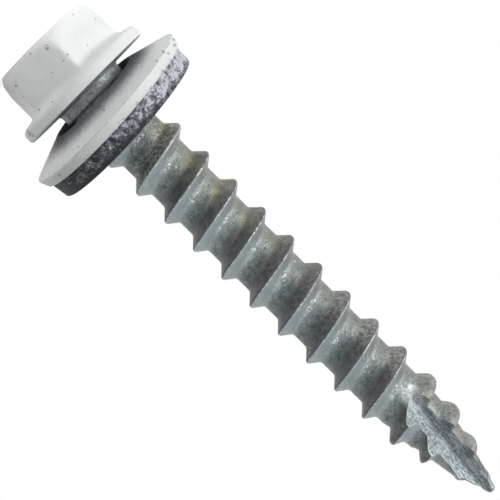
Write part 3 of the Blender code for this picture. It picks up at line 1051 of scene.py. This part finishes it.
@dataclass
class HexHead:
    """The head's turned blank with its flange and collar, whose sides are then pressed to six flats."""

    across_flats: float = 7.53 * MM
    height: float = 3.52 * MM
    corner_azimuth: float = math.radians(21.0)
    corner_sharpness: float = 50.0
    face_radius: float = 3.53 * MM
    chamfer: float = 0.47 * MM
    shoulder: float = 1.07 * MM
    edge_round: float = 0.14 * MM
    edge_round_rate: float = 1.5
    foot_fillet: float = 0.45 * MM
    foot_sink: float = 0.11 * MM
    flange_radius: float = 5.195 * MM
    flange_thickness: float = 0.96 * MM
    flange_fall: float = math.radians(10.0)
    flange_top_round: float = 0.42 * MM
    flange_under_round: float = 0.18 * MM
    collar_radius: float = 2.59 * MM
    collar_length: float = 0.93 * MM
    collar_fillet: float = 0.3 * MM
    collar_end_round: float = 0.16 * MM
    steps: int = 288

    @property
    def flange_under(self) -> float:
        """The height of the flange's underside."""
        return self.height + self.flange_thickness

    @property
    def corner_reach(self) -> float:
        """The rounded hex corners' distance from the axis."""
        return self.flat_reach(self.corner_azimuth)

    @property
    def shoulder_end(self) -> float:
        """The height where the shoulder's curve runs out into the flats."""
        return self.chamfer + self.shoulder

    @property
    def wall_end(self) -> float:
        """The height where a corner meets the foot's fillet."""
        reach = self.corner_reach + self.foot_fillet
        return self.flange_top(reach) - self.foot_fillet / math.cos(self.flange_fall)

    @property
    def foot_end(self) -> float:
        """The radius where a corner's fillet meets the flange's top."""
        return self.corner_reach + self.foot_fillet * (1 - math.sin(self.flange_fall))

    @property
    def rim_start(self) -> float:
        """The radius where the flange's top meets its rounded rim."""
        return self.flange_radius - self.flange_top_round * (1 - math.sin(self.flange_fall))

    def flange_top(self, radius: float) -> float:
        """The height of the flange's top, which falls away from the hex, at a radius."""
        foot_reach = self.across_flats / 2 + self.foot_fillet
        return self.height - self.foot_sink + (radius - foot_reach) * math.tan(self.flange_fall)

    def flat_reach(self, azimuth: float) -> float:
        """How far the hexagon's rounded outline lies from the axis in a direction.

        Args:
            azimuth: The direction.

        Returns:
            The distance.
        """
        total = 0.0
        for side in range(6):
            normal = self.corner_azimuth + math.pi / 6 + side * math.pi / 3
            total += max(0.0, math.cos(azimuth - normal)) ** self.corner_sharpness
        return self.across_flats / 2 * total ** (-1 / self.corner_sharpness)

    def side_profile(self) -> list[Point]:
        """The blank's outline (r, z) at a corner, from the foot's fillet to the middle of the top face.

        Returns:
            The points, from the foot's fillet on.
        """
        reach = self.corner_reach
        face = self.face_radius
        fillet_start = 90 + math.degrees(self.flange_fall)
        points = arc((reach + self.foot_fillet, self.wall_end), self.foot_fillet, fillet_start, 180, 8)
        points += inner((reach, self.wall_end), (reach, self.shoulder_end), 12)
        for i in range(17):
            left = 1 - i / 16
            swell = (reach - face - self.chamfer) * left * (2 - left)
            points.append((face + self.chamfer + swell, self.chamfer + self.shoulder * left))
        points += inner((face + self.chamfer, self.chamfer), (face, 0.0), 8)[:-1]
        centre = (face - self.edge_round * math.tan(math.pi / 8), self.edge_round)
        points += arc(centre, self.edge_round, -45, -90, 4)
        return points + inner((centre[0], 0.0), (0.0, 0.0), 8) + [(0.0, 0.0)]

    def profile(self) -> list[Point]:
        """The whole outline (r, z), from the middle of the collar's end to the middle of the top face.

        Returns:
            The points, from the collar on.
        """
        under = self.flange_under
        collar_end = under + self.collar_length
        end_corner = (self.collar_radius - self.collar_end_round, collar_end - self.collar_end_round)
        fillet = (self.collar_radius + self.collar_fillet, under + self.collar_fillet)
        under_corner = (self.flange_radius - self.flange_under_round, under - self.flange_under_round)
        rim_reach = self.flange_radius - self.flange_top_round
        rim_height = self.flange_top(rim_reach) + self.flange_top_round / math.cos(self.flange_fall)
        rim_end = math.degrees(self.flange_fall) - 90
        rim, foot = ((radius, self.flange_top(radius)) for radius in (self.rim_start, self.foot_end))
        points = [(0.0, collar_end)]
        points += arc(end_corner, self.collar_end_round, 90, 0, 5)
        points += arc(fillet, self.collar_fillet, 180, 270, 6)
        points += inner((fillet[0], under), (under_corner[0], under), 6)
        points += arc(under_corner, self.flange_under_round, 90, 0, 5)
        points += arc((rim_reach, rim_height), self.flange_top_round, 0, rim_end, 8)
        return points + inner(rim, foot, 8) + self.side_profile()

    def press(self, radius: float, height: float, pull: float) -> Point:
        """Moves a point of the blank's outline to where the pressed head has it.

        Args:
            radius: The point's distance from the axis.
            height: Its height.
            pull: How much nearer to the axis the hexagon's outline is here than at a corner.

        Returns:
            The new radius and height.
        """
        fall = math.tan(self.flange_fall)
        if height < self.shoulder_end:
            risen = (self.shoulder_end - height) / self.shoulder
            blend = 2 * self.edge_round * smooth_step(risen * self.edge_round_rate)
            reach = self.corner_reach - pull
            return (soft_min(radius, reach, blend) if blend > 0 else min(radius, reach)), height
        if height < self.wall_end:
            share = (height - self.shoulder_end) / (self.wall_end - self.shoulder_end)
            return radius - pull, height - pull * fall * share
        if radius < self.foot_end:
            return radius - pull, height - pull * fall
        radius -= pull * (self.rim_start - radius) / (self.rim_start - self.foot_end)
        return radius, self.flange_top(radius)

    def press_flats(self, obj: Object) -> None:
        """Presses the turned blank's side to six flats, which fade out over the flange.

        Args:
            obj: The turned blank.
        """
        rim_height = self.flange_top(self.rim_start) + MERGE_DISTANCE
        for vertex in obj.data.vertices:
            x, y, z = vertex.co
            radius = math.hypot(x, y)
            if radius < MERGE_DISTANCE or radius >= self.rim_start or z > rim_height:
                continue
            pull = self.corner_reach - self.flat_reach(math.atan2(y, x))
            pressed, height = self.press(radius, z, pull)
            vertex.co = (x * pressed / radius, y * pressed / radius, height)

    def build(self) -> Object:
        """Builds head, flange and collar as one closed mesh.

        Returns:
            The head.
        """
        obj = draw_profile("head", self.profile())
        turn_profile(obj, self.steps)
        self.press_flats(obj)
        return obj


@dataclass
class ThreadedShank:
    """Neck, coarse thread and fluted point."""

    head_end: float
    length: float = 38.56 * MM
    neck_radius: float = 2.1 * MM
    neck_end: float = 8.01 * MM
    neck_taper: float = 0.6 * MM
    sunk_in_collar: float = 0.4 * MM
    root_radius: float = 1.97 * MM
    point_half_angle: float = math.radians(16.2)
    point_shoulder: float = 5.8 * MM
    nose_radius: float = 0.34 * MM
    pitch: float = 2.678 * MM
    point_pitch: float = 2.3 * MM
    closing_length: float = 12.95 * MM
    thread_height: float = 0.73 * MM
    crest_flat: float = 0.18 * MM
    crest_round: float = 0.15 * MM
    crest_unevenness: float = 0.02 * MM
    unevenness_size: float = 0.7 * MM
    head_flank_angle: float = math.radians(43.0)
    point_flank_angle: float = math.radians(36.0)
    root_fillet: float = 0.35 * MM
    lead_in: float = 0.51 * MM
    start_azimuth: float = math.radians(-90.0)
    rise_turns: float = 0.3
    fade_length: float = 9.3 * MM
    end_length: float = 0.65 * MM
    lobe_length: float = 10.5 * MM
    lobe_width: float = 0.18 * MM
    lobe_side_width: float = 0.34 * MM
    lobe_crest_width: float = 0.27 * MM
    lobe_drop: float = 0.09 * MM
    lobe_drop_left: float = 0.4
    hollow_depth: float = 0.14 * MM
    hollow_before_crest: float = 0.85 * MM
    hollow_width: float = 0.4 * MM
    web_radius: float = 1.1 * MM
    web_slope: float = 0.15
    web_top: float = 4.9 * MM
    web_foot: float = 2.3 * MM
    web_top_ease: float = 0.5 * MM
    web_foot_ease: float = 0.4 * MM
    flute_azimuth: float = math.radians(-81.0)
    flute_angle: float = math.radians(92.0)
    flute_past_axis: float = 0.05 * MM
    flute_level_length: float = 2.6 * MM
    flute_length: float = 8.4 * MM
    flute_rise: float = math.radians(14.5)
    flute_skew: float = math.radians(8.7)
    flute_aside_at_tip: float = 0.28 * MM
    flute_runout_radius: float = 8.0 * MM
    flute_bottom_round: float = 0.14 * MM
    steps: int = 120
    spare_turns: int = 3

    @property
    def tip(self) -> float:
        """The height of the tip."""
        return self.head_end + self.length

    @property
    def thread_start(self) -> float:
        """The height of the crest where the thread begins."""
        return self.neck_end + self.lead_in

    @property
    def closing_start(self) -> float:
        """The height from which the pitch closes up."""
        return self.tip - self.closing_length

    @property
    def closing_rate(self) -> float:
        """How much the turns per length grow over twice the length where the pitch closes up."""
        return (1 / self.point_pitch - 1 / self.pitch) / (2 * self.closing_length)

    @property
    def course(self) -> ThreadCourse:
        """The crest line's course in millimetres."""
        return ThreadCourse(
            start=self.thread_start / MM,
            start_turn=self.start_azimuth / FULL_TURN,
            pitch=self.pitch / MM,
            closing_start=self.closing_start / MM,
            closing_rate=self.closing_rate * MM * MM,
        )

    def crest_height(self, turns: float) -> float:
        """The crest line's height so many turns after the thread's start.

        Args:
            turns: The turns, negative before the start.

        Returns:
            The height.
        """
        plain_turns = (self.closing_start - self.thread_start) / self.pitch
        if turns <= plain_turns:
            return self.thread_start + turns * self.pitch
        root = math.sqrt(1 / self.pitch**2 + 4 * self.closing_rate * (turns - plain_turns))
        return self.closing_start + (root - 1 / self.pitch) / (2 * self.closing_rate)

    def core_radius(self, height: float) -> float:
        """The radius under the ridge: neck, root, a rolled shoulder, a cone and a round nose.

        Args:
            height: Where it is asked for.

        Returns:
            The radius.
        """
        if height < self.neck_end + self.neck_taper:
            stepped = smooth_step((height - self.neck_end) / self.neck_taper)
            return self.neck_radius + (self.root_radius - self.neck_radius) * stepped
        below_tip = self.tip - height
        slope = math.tan(self.point_half_angle)
        nose_height = self.nose_radius * (1 - math.sin(self.point_half_angle))
        if below_tip < nose_height:
            return math.sqrt(max(0.0, 2 * self.nose_radius * below_tip - below_tip**2))
        cone = self.nose_radius * math.cos(self.point_half_angle) + (below_tip - nose_height) * slope
        past_corner = self.point_shoulder / 2 - (cone - self.root_radius) / slope
        if past_corner <= 0:
            return self.root_radius
        if past_corner < self.point_shoulder:
            return self.root_radius - slope * past_corner**2 / (2 * self.point_shoulder)
        return cone

    def ridge_height(self, turns: float) -> float:
        """The ridge's height over the core, which rises over part of a turn and dies away on the point.

        Args:
            turns: The turns after the thread's start.

        Returns:
            The height.
        """
        fade_start = self.tip - self.fade_length
        faded = (self.crest_height(turns) - fade_start) / (self.fade_length - self.end_length)
        return self.thread_height * smooth_step(turns / self.rise_turns) * (1 - clamp(faded) ** 2)

    def section_side(self, flank_angle: float) -> list[Point]:
        """One side of the ridge with half of the root beside it.

        Args:
            flank_angle: The flank's angle to a plane square to the axis.

        Returns:
            Points (r, distance from the crest's middle), crest first.
        """
        flank = math.pi / 2 - flank_angle
        crest = self.root_radius + self.thread_height
        start = self.crest_flat / 2 - self.crest_round * math.tan(flank / 2)
        side = arc((crest - self.crest_round, start), self.crest_round, 0, math.degrees(flank), 5)
        straight = self.crest_flat / 2 + self.thread_height * math.tan(flank_angle)
        foot = straight + self.root_fillet * math.tan(flank / 2)
        bend = arc((foot, self.root_fillet), self.root_fillet, 270 - math.degrees(flank), 270, 4)
        turned = [(self.root_radius + up, along) for along, up in bend]
        side += inner(side[-1], turned[0], 4) + turned
        return side + [(self.root_radius, (foot + self.pitch / 2) / 2), (self.root_radius, self.pitch / 2)]

    def section(self, middle: float) -> list[Point]:
        """One pitch of the thread's outline (r, z) round a crest's height, from root to root."""
        head_side = [(r, middle - along) for r, along in reversed(self.section_side(self.head_flank_angle))]
        return head_side + [(r, middle + along) for r, along in self.section_side(self.point_flank_angle)]

    def point_lobe(self, height: float, azimuth: float, along: float, share: float) -> Point:
        """How far a point of the last turns is swollen, where the rolled ridge is fat and round.

        Args:
            height: The point's height.
            azimuth: Its direction from the axis.
            along: Its distance from the crest's middle, towards the tip.
            share: Its share of the ridge's height.

        Returns:
            Its shifts outwards and towards the tip.
        """
        below_tip = self.tip - height
        zone = smooth_step((self.lobe_length - below_tip) / (self.lobe_length / 3))
        zone *= smooth_step(below_tip / (3 * self.end_length))
        fat = 0.5 - 0.5 * math.cos(azimuth)
        across = clamp(0.5 + along / self.lobe_crest_width)
        shift = (self.lobe_width + self.lobe_side_width * fat) * across * share
        drop = self.lobe_drop * (self.lobe_drop_left * (1 - fat) + fat) * (2 * across - 1) ** 2 * share**2
        from_hollow = (along + self.hollow_before_crest) / self.hollow_width
        hollow = self.hollow_depth * (1 - fat) * math.exp(-(from_hollow**2))
        return -(drop + hollow) * zone, shift * zone

    def web_share(self, height: float, azimuth: float) -> float:
        """How far the left side of the point is levelled to a straight web at a place, from 0 to 1.

        Args:
            height: The place's height.
            azimuth: Its direction from the axis.

        Returns:
            The share.
        """
        below_tip = self.tip - height
        along = smooth_step((self.web_top - below_tip) / self.web_top_ease)
        along *= smooth_step((below_tip - self.web_foot) / self.web_foot_ease)
        return along * (0.5 + 0.5 * math.cos(azimuth)) ** 2

    def shape_thread(self, obj: Object) -> None:
        """Gives an even helical rod its neck, its closing pitch, its point and the ridge's fades.

        Args:
            obj: The rod.
        """
        for vertex in obj.data.vertices:
            radius = math.hypot(vertex.co.x, vertex.co.y)
            azimuth = math.atan2(vertex.co.y, vertex.co.x)
            turns = (vertex.co.z - self.thread_start) / self.pitch
            phase = turns - (azimuth - self.start_azimuth) / FULL_TURN
            along = phase - round(phase)
            height = self.crest_height(turns)
            if height >= self.tip:
                vertex.co = (0.0, 0.0, self.tip)
                continue
            share = (radius - self.root_radius) / self.thread_height
            outwards, onwards = self.point_lobe(height, azimuth, along * self.pitch, share)
            height = min(height + onwards, self.tip - MERGE_DISTANCE)
            shaped = self.core_radius(height) + share * self.ridge_height(turns - along)
            uneven = 0.5 + 0.5 * noise.noise(vertex.co / self.unevenness_size)
            shaped += outwards - self.crest_unevenness * share * uneven
            web = self.web_radius + self.web_slope * max(0.0, self.tip - height - self.web_foot)
            shaped += (web - shaped) * self.web_share(height, azimuth)
            vertex.co = (shaped * math.cos(azimuth), shaped * math.sin(azimuth), height)

    def build(self) -> Object:
        """Builds neck and threaded shank as one closed mesh, which starts inside the collar.

        Returns:
            The shank.
        """
        turns_back = math.ceil((self.thread_start - self.head_end) / self.pitch)
        first = self.thread_start - (self.start_azimuth / FULL_TURN + turns_back) * self.pitch
        turns = 0
        while self.crest_height(turns) < self.tip:
            turns += 1
        obj = draw_profile("shank", self.section(first))
        turn_profile(obj, self.steps, rise=self.pitch, rounds=turns_back + turns + self.spare_turns)
        self.shape_thread(obj)
        clean_skin(obj)
        cut = (0.0, 0.0, self.head_end + self.sunk_in_collar)
        with editing(obj):
            bpy.ops.mesh.bisect(plane_co=cut, plane_no=(0, 0, 1), use_fill=True, clear_inner=True)
        clean_skin(obj)
        return obj

    def flute_valley(self, height: float) -> Point:
        """How far the bottom of the flute's V lies from the axis towards its opening, and how far aside.

        Args:
            height: Where it is asked for.

        Returns:
            Both distances.
        """
        below_tip = self.tip - height
        depth = -self.flute_past_axis
        depth += max(0.0, below_tip - self.flute_level_length) * math.tan(self.flute_rise)
        depth += max(0.0, below_tip - self.flute_length) ** 2 / (2 * self.flute_runout_radius)
        return depth, below_tip * math.tan(self.flute_skew) - self.flute_aside_at_tip

    def build_flute_cutter(self) -> Object:
        """Builds the V that mills the flute: a round-bottomed wedge, extruded from the tip up its valley.

        Returns:
            The cutter.
        """
        crest = self.root_radius + self.thread_height
        runout = math.sqrt(2 * self.flute_runout_radius * crest)
        stations = [self.tip + crest / 4, self.tip - self.flute_level_length]
        stations += [self.tip - self.flute_length - runout * i / 12 for i in range(13)]
        toward = Vector((math.cos(self.flute_azimuth), math.sin(self.flute_azimuth), 0.0))
        aside = Vector((toward.y, -toward.x, 0.0))
        valleys = []
        for height in stations:
            depth, shift = self.flute_valley(height)
            valleys.append(toward * depth + aside * shift + Vector((0.0, 0.0, height)))
        half = self.flute_angle / 2
        bottom = self.flute_bottom_round
        outline = []
        for i in range(5):
            turn = math.pi - (math.pi / 2 - half) * (1 - i / 2)
            out = bottom / math.sin(half) + bottom * math.cos(turn)
            outline.append(toward * out + aside * bottom * math.sin(turn))
        outline += [toward * 2 * crest - aside * side * 2 * crest * math.tan(half) for side in (1, -1)]
        deselect_all()
        bpy.ops.mesh.primitive_circle_add(vertices=len(outline), radius=crest, fill_type="NGON")
        obj = bpy.context.active_object
        obj.name = "flute_cutter"
        for vertex, corner in zip(obj.data.vertices, outline):
            vertex.co = corner + valleys[0]
        with editing(obj):
            for here, after in zip(valleys, valleys[1:]):
                bpy.ops.mesh.extrude_region_move(TRANSFORM_OT_translate={"value": after - here})
        clean_skin(obj)
        return obj


@dataclass
class RoofingScrew:
    """The screw itself: head, flange, collar, neck, thread and point in one piece."""

    head: HexHead = field(default_factory=HexHead)
    sharp_from_deg: float = 32.0
    under_slack: float = 0.05 * MM
    flecks: tuple[Fleck, ...] = (
        Fleck(-0.05, 0.84, 0.17),
        Fleck(-0.18, 0.68, 0.09),
        Fleck(3.14, 1.06, 0.13),
        Fleck(0.98, 0.30, 0.09),
        Fleck(-2.06, 2.55, 0.08),
        Fleck(-0.71, 2.09, 0.08),
        Fleck(0.83, 2.20, 0.07),
        Fleck(-0.23, 2.18, 0.06),
        Fleck(3.19, 3.28, 0.09),
        Fleck(2.20, 3.56, 0.08),
        Fleck(-3.68, 1.65, 0.07),
        Fleck(-2.83, 0.43, 0.07),
        Fleck(-1.93, 3.10, 0.06),
        Fleck(4.73, 3.72, 0.17, 0.5),
        Fleck(4.78, 3.92, 0.2, 0.6),
        Fleck(4.72, 4.16, 0.16, 0.5),
    )

    def dress(self, effects: Effects, shank: ThreadedShank) -> tuple[Material, ...]:
        """Makes rolled and milled zinc, whose patterns follow the shank's thread, and the head's paint.

        Args:
            effects: The shared shader groups.
            shank: The shank.

        Returns:
            The rolled zinc, the milled zinc and the paint.
        """
        zinc = ZincPlate()
        thread_place = new_group("Thread Place", shank.course.across)
        valley = (-shank.flute_aside_at_tip / MM, math.tan(shank.flute_skew))
        return (
            zinc.make_rolled("rolled_zinc", effects, thread_place),
            zinc.make_milled("milled_zinc", effects, thread_place, valley, shank.tip / MM),
            WhitePaint(flecks=self.flecks).make("head_paint", effects),
        )

    def build(self, effects: Effects) -> Object:
        """Builds and dresses the whole screw as one closed mesh.

        Args:
            effects: The shared shader groups.

        Returns:
            The screw.
        """
        shank = ThreadedShank(head_end=self.head.flange_under)
        rolled, milled, paint = self.dress(effects, shank)
        obj = shank.build()
        obj.name = "roofing_screw"
        obj.data.name = "roofing_screw"
        obj.data.materials.append(rolled)
        top = self.head.build()
        top.data.materials.append(paint)
        combine(obj, Join.ADD, top)
        cutter = shank.build_flute_cutter()
        cutter.data.materials.append(milled)
        combine(obj, Join.CUT, cutter)
        names = [material.name for material in obj.data.materials]
        for face in obj.data.polygons:
            painted = face.material_index == names.index(paint.name)
            if painted and face.center.z > self.head.flange_under - self.under_slack:
                face.material_index = names.index(rolled.name)
        return obj

    def place(self, effects: Effects) -> Object:
        """Builds the screw and puts it in its node's place.

        Args:
            effects: The shared shader groups.

        Returns:
            The screw.
        """
        obj = self.build(effects)
        shade(obj, self.sharp_from_deg)
        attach(obj, "screw")
        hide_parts("screw")
        log.info("%s: %d faces", obj.name, len(obj.data.polygons))
        return obj


@dataclass
class SealingWasher:
    """The loose washer: a dished steel cup with a rubber gasket bonded under it, hanging askew."""

    height: float = 6.905 * MM
    tilt: float = math.radians(7.7)
    lean_azimuth: float = math.radians(-69.0)
    hole_radius: float = 3.53 * MM
    cup_width: float = 3.149 * MM
    sheet: float = 0.85 * MM
    slope: float = math.radians(19.0)
    overhang: float = 0.11 * MM
    edge_round: float = 0.16 * MM
    bond_gap: float = 0.02 * MM
    bore_radius: float = 2.55 * MM
    bore_height: float = 1.75 * MM
    gasket_inset: float = 0.18 * MM
    gasket_edge_height: float = 1.35 * MM
    gasket_draft: float = 0.12 * MM
    land_width: float = 1.8 * MM
    bore_flare: float = 0.15 * MM
    gasket_round: float = 0.14 * MM
    steps: int = 192
    bare_zone: Point = (0.7, 2.4)
    cup_sharp_from_deg: float = 35.0
    gasket_sharp_from_deg: float = 40.0
    flecks: tuple[Fleck, ...] = (
        Fleck(-5.27, 6.42, 0.12),
        Fleck(-5.42, 6.7, 0.1),
        Fleck(-6.15, 6.6, 0.14),
        Fleck(-6.38, 6.3, 0.12),
        Fleck(-4.5, 6.55, 0.08),
        Fleck(0.2, 6.33, 0.08),
        Fleck(-2.18, 6.15, 0.06),
        Fleck(3.1, 6.85, 0.1, 0.5),
        Fleck(5.3, 7.25, 0.12, 0.5),
    )

    @property
    def lean(self) -> Matrix:
        """The washer's own frame: its axis through the middle of the gasket's bore."""
        turn = Matrix.Rotation(self.lean_azimuth, 4, "Z") @ Matrix.Rotation(-self.tilt, 4, "Y")
        return Matrix.Translation((0.0, 0.0, self.height)) @ turn

    def cup_corners(self) -> list[Point]:
        """The sheet's corners: hole and rim on the head side, then rim and hole on the point side.

        Returns:
            The corners (r, z).
        """
        r_through = -self.sheet * math.sin(self.slope)
        z_through = self.sheet * math.cos(self.slope)
        hole = (self.hole_radius, -self.bore_height / 2 - self.overhang - z_through)
        rim = (hole[0] + self.cup_width, hole[1] + self.cup_width * math.tan(self.slope))
        return [hole, rim] + [(r + r_through, z + z_through) for r, z in (rim, hole)]

    def round_corners(self, corners: list[Point], radii: list[float], steps: int) -> list[Point]:
        """Rounds the corners of a closed outline.

        Args:
            corners: The outline as (r, z).
            radii: How far from each corner its rounding starts.
            steps: How many stretches each rounding has.

        Returns:
            The rounded outline.
        """
        points = []
        for i, radius in enumerate(radii):
            here = Vector(corners[i])
            before = here + (Vector(corners[i - 1]) - here).normalized() * radius
            after = here + (Vector(corners[(i + 1) % len(corners)]) - here).normalized() * radius
            for step in range(steps + 1):
                share = step / steps
                point = before.lerp(here, share).lerp(here.lerp(after, share), share)
                points.append((point.x, point.y))
        return points

    def turn_piece(self, name: str, outline: list[Point]) -> Object:
        """Turns a piece's closed outline round the washer's axis and leans it as the washer hangs.

        Args:
            name: The piece's name.
            outline: Its outline (r, z).

        Returns:
            The piece.
        """
        obj = draw_profile(name, outline, closed=True)
        turn_profile(obj, self.steps)
        obj.matrix_world = self.lean
        pick(obj)
        bpy.ops.object.transform_apply(location=True, rotation=True, scale=True)
        return obj

    def build_cup(self, effects: Effects) -> Object:
        """Builds and dresses the dished cup, and puts it in its node's place.

        Args:
            effects: The shared shader groups.

        Returns:
            The cup.
        """
        corners = self.cup_corners()
        obj = self.turn_piece("dished_cup", self.round_corners(corners, [self.edge_round] * 4, 5))
        hole, rim, rim_under, _ = ((r / MM, z / MM) for r, z in corners)
        # A dark line along the rim's edge on the head side, a painted highlight along the hole's edge, and a
        # dark line under the rim
        lines = (
            EdgeLine(Ring(rim[0] - 0.03, rim[1] - 0.03, 0.1, 0.45), (0.4, 0.4, 0.41), 0.4),
            EdgeLine(Ring(hole[0] + 0.03, hole[1] + 0.03, 0.1, 0.2), (0.62, 0.63, 0.65), 0.6),
            EdgeLine(Ring(rim_under[0] + 0.06, rim_under[1] - 0.12, 0.14, 0.75), (0.34, 0.34, 0.35), 0.6),
        )
        # The dark zone round the hole: unpainted metal, and painted shade under the flange
        bare_from, bare_to = (hole[0] + reach for reach in self.bare_zone)
        paint = WhitePaint(lines=lines, flecks=self.flecks, bare_from=bare_from, bare_to=bare_to)
        obj.data.materials.append(paint.make("cup_paint", effects, self.lean))
        shade(obj, self.cup_sharp_from_deg)
        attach(obj, "washer")
        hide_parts("washer_cup")
        log.info("%s: %d faces", obj.name, len(obj.data.polygons))
        return obj

    def build_gasket(self, effects: Effects) -> Object:
        """Builds and dresses the rubber gasket, and puts it in its node's place.

        Args:
            effects: The shared shader groups.

        Returns:
            The gasket.
        """
        _, _, outer_under, inner_under = self.cup_corners()
        slope = math.tan(self.slope)
        inner_top = -self.bore_height / 2
        bond = self.bond_gap / math.cos(self.slope)
        meets_cup = inner_under[0] + (inner_top - bond - inner_under[1]) / slope
        outside = outer_under[0] - self.gasket_inset
        outside_top = inner_top + (outside - meets_cup) * slope
        land = outside_top + self.gasket_edge_height
        land_outer = outside - self.gasket_draft
        corners = [
            (self.bore_radius + self.bore_flare, self.bore_height / 2),
            (land_outer - self.land_width, land),
            (land_outer, land),
            (outside, outside_top),
            (meets_cup, inner_top),
            (self.bore_radius, inner_top),
            (self.bore_radius, self.bore_height / 2 - self.bore_flare),
        ]
        fine = self.gasket_round / 2
        radii = [fine, self.gasket_round, self.gasket_round, fine, fine / 4, fine, fine]
        obj = self.turn_piece("rubber_gasket", self.round_corners(corners, radii, 4))
        obj.data.materials.append(BlackRubber().make("black_rubber", effects, self.lean))
        shade(obj, self.gasket_sharp_from_deg)
        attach(obj, "washer")
        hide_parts("washer_gasket")
        log.info("%s: %d faces", obj.name, len(obj.data.polygons))
        return obj


# Studio


@dataclass
class Studio:
    """A plain pale floor, a white surround, one soft sun and the camera."""

    floor_side: float = 6.0
    floor_colour: Colour = (0.9, 0.9, 0.9)
    floor_roughness: float = 0.9
    floor_bounce_glow: float = 0.23
    floor_glow: float = 0.61
    white: Colour = (1.0, 1.0, 1.0)
    surround: float = 0.24
    sun_strength: float = 1.88
    sun_angle: float = math.radians(26.0)
    sun_from: tuple[float, float, float] = (-0.8, -0.45, 0.38)
    distance: float = 0.2
    lens: float = 215.4
    sensor: float = 36.0
    clip: Point = (0.01, 20.0)
    tilt: float = 0.056
    roll: float = 0.005
    aim_along: float = 19.81 * MM
    aim_across: float = 0.1136 * MM

    def seen(self, shader: Shader) -> Signal:
        """Gives 1 to rays that show the background: from the camera, in gloss and through glass.

        Args:
            shader: The material or world that asks.

        Returns:
            1 or 0.
        """
        rays = ("Is Camera Ray", "Is Glossy Ray", "Is Transmission Ray")
        camera, gloss, through = shader.signals("ShaderNodeLightPath", {}, *rays)
        return camera.larger(gloss.larger(through))

    def add_floor(self) -> None:
        """Adds the floor, which shows white and keeps the shadow."""
        deselect_all()
        bpy.ops.mesh.primitive_plane_add(size=self.floor_side)
        floor = bpy.context.active_object
        floor.name = "floor"
        skin = Skin("pale_floor")
        skin.finish(self.floor_colour, self.floor_roughness, 0.0, 0.0)
        skin.feed(skin.inputs["Emission Color"], self.white)
        glow = skin.blend(self.seen(skin), self.floor_bounce_glow, self.floor_glow)
        skin.feed(skin.inputs["Emission Strength"], glow)
        floor.data.materials.append(skin.material)

    def add_surround(self) -> None:
        """Sets the world: plain grey light that shows white."""
        world = bpy.data.worlds.new("surround")
        world.use_nodes = True
        bpy.context.scene.world = world
        shader = Shader(world.node_tree)
        background = world.node_tree.nodes["Background"]
        shader.feed(background.inputs["Color"], self.white)
        shader.feed(background.inputs["Strength"], shader.blend(self.seen(shader), self.surround, 1.0))

    def add_sun(self) -> None:
        """Adds the one soft lamp."""
        deselect_all()
        bpy.ops.object.light_add(type="SUN")
        sun = bpy.context.active_object
        sun.data.energy = self.sun_strength
        sun.data.angle = self.sun_angle
        sun.rotation_euler = Vector(self.sun_from).to_track_quat("Z", "Y").to_euler()

    def add_camera(self) -> None:
        """Adds the camera where the photograph was taken from, with the screw along the diagonal."""
        up_axis = Vector((0.0, -math.sin(self.tilt), math.cos(self.tilt)))
        across = Vector((-1.0, 0.0, 0.0))
        back = Vector((0.0, -math.cos(self.tilt), -math.sin(self.tilt)))
        along = math.cos(self.roll) * up_axis - math.sin(self.roll) * across
        aside = math.sin(self.roll) * up_axis + math.cos(self.roll) * across
        right = (along + aside).normalized()
        up = (aside - along).normalized()
        place = along * self.aim_along + aside * self.aim_across + back * self.distance
        bpy.ops.object.camera_add()
        camera = bpy.context.active_object
        turn = Matrix((right, up, back)).transposed().to_4x4()
        camera.matrix_world = Matrix.Translation(place) @ turn
        camera.data.lens = self.lens
        camera.data.sensor_width = self.sensor
        camera.data.sensor_fit = "HORIZONTAL"
        camera.data.clip_start, camera.data.clip_end = self.clip
        bpy.context.scene.camera = camera

    def build(self) -> None:
        """Sets up floor, surround, lamp, camera and view."""
        self.add_floor()
        self.add_surround()
        self.add_sun()
        self.add_camera()
        bpy.context.scene.view_settings.view_transform = "Standard"
        log.info("studio ready")


def main() -> None:
    """Builds the screw, its washer and the studio, in that order."""
    logging.basicConfig(level=logging.INFO, format="%(name)s: %(message)s")
    effects = Effects()
    RoofingScrew().place(effects)
    washer = SealingWasher()
    washer.build_cup(effects)
    washer.build_gasket(effects)
    Studio().build()


if __name__ == "__main__":
    main()
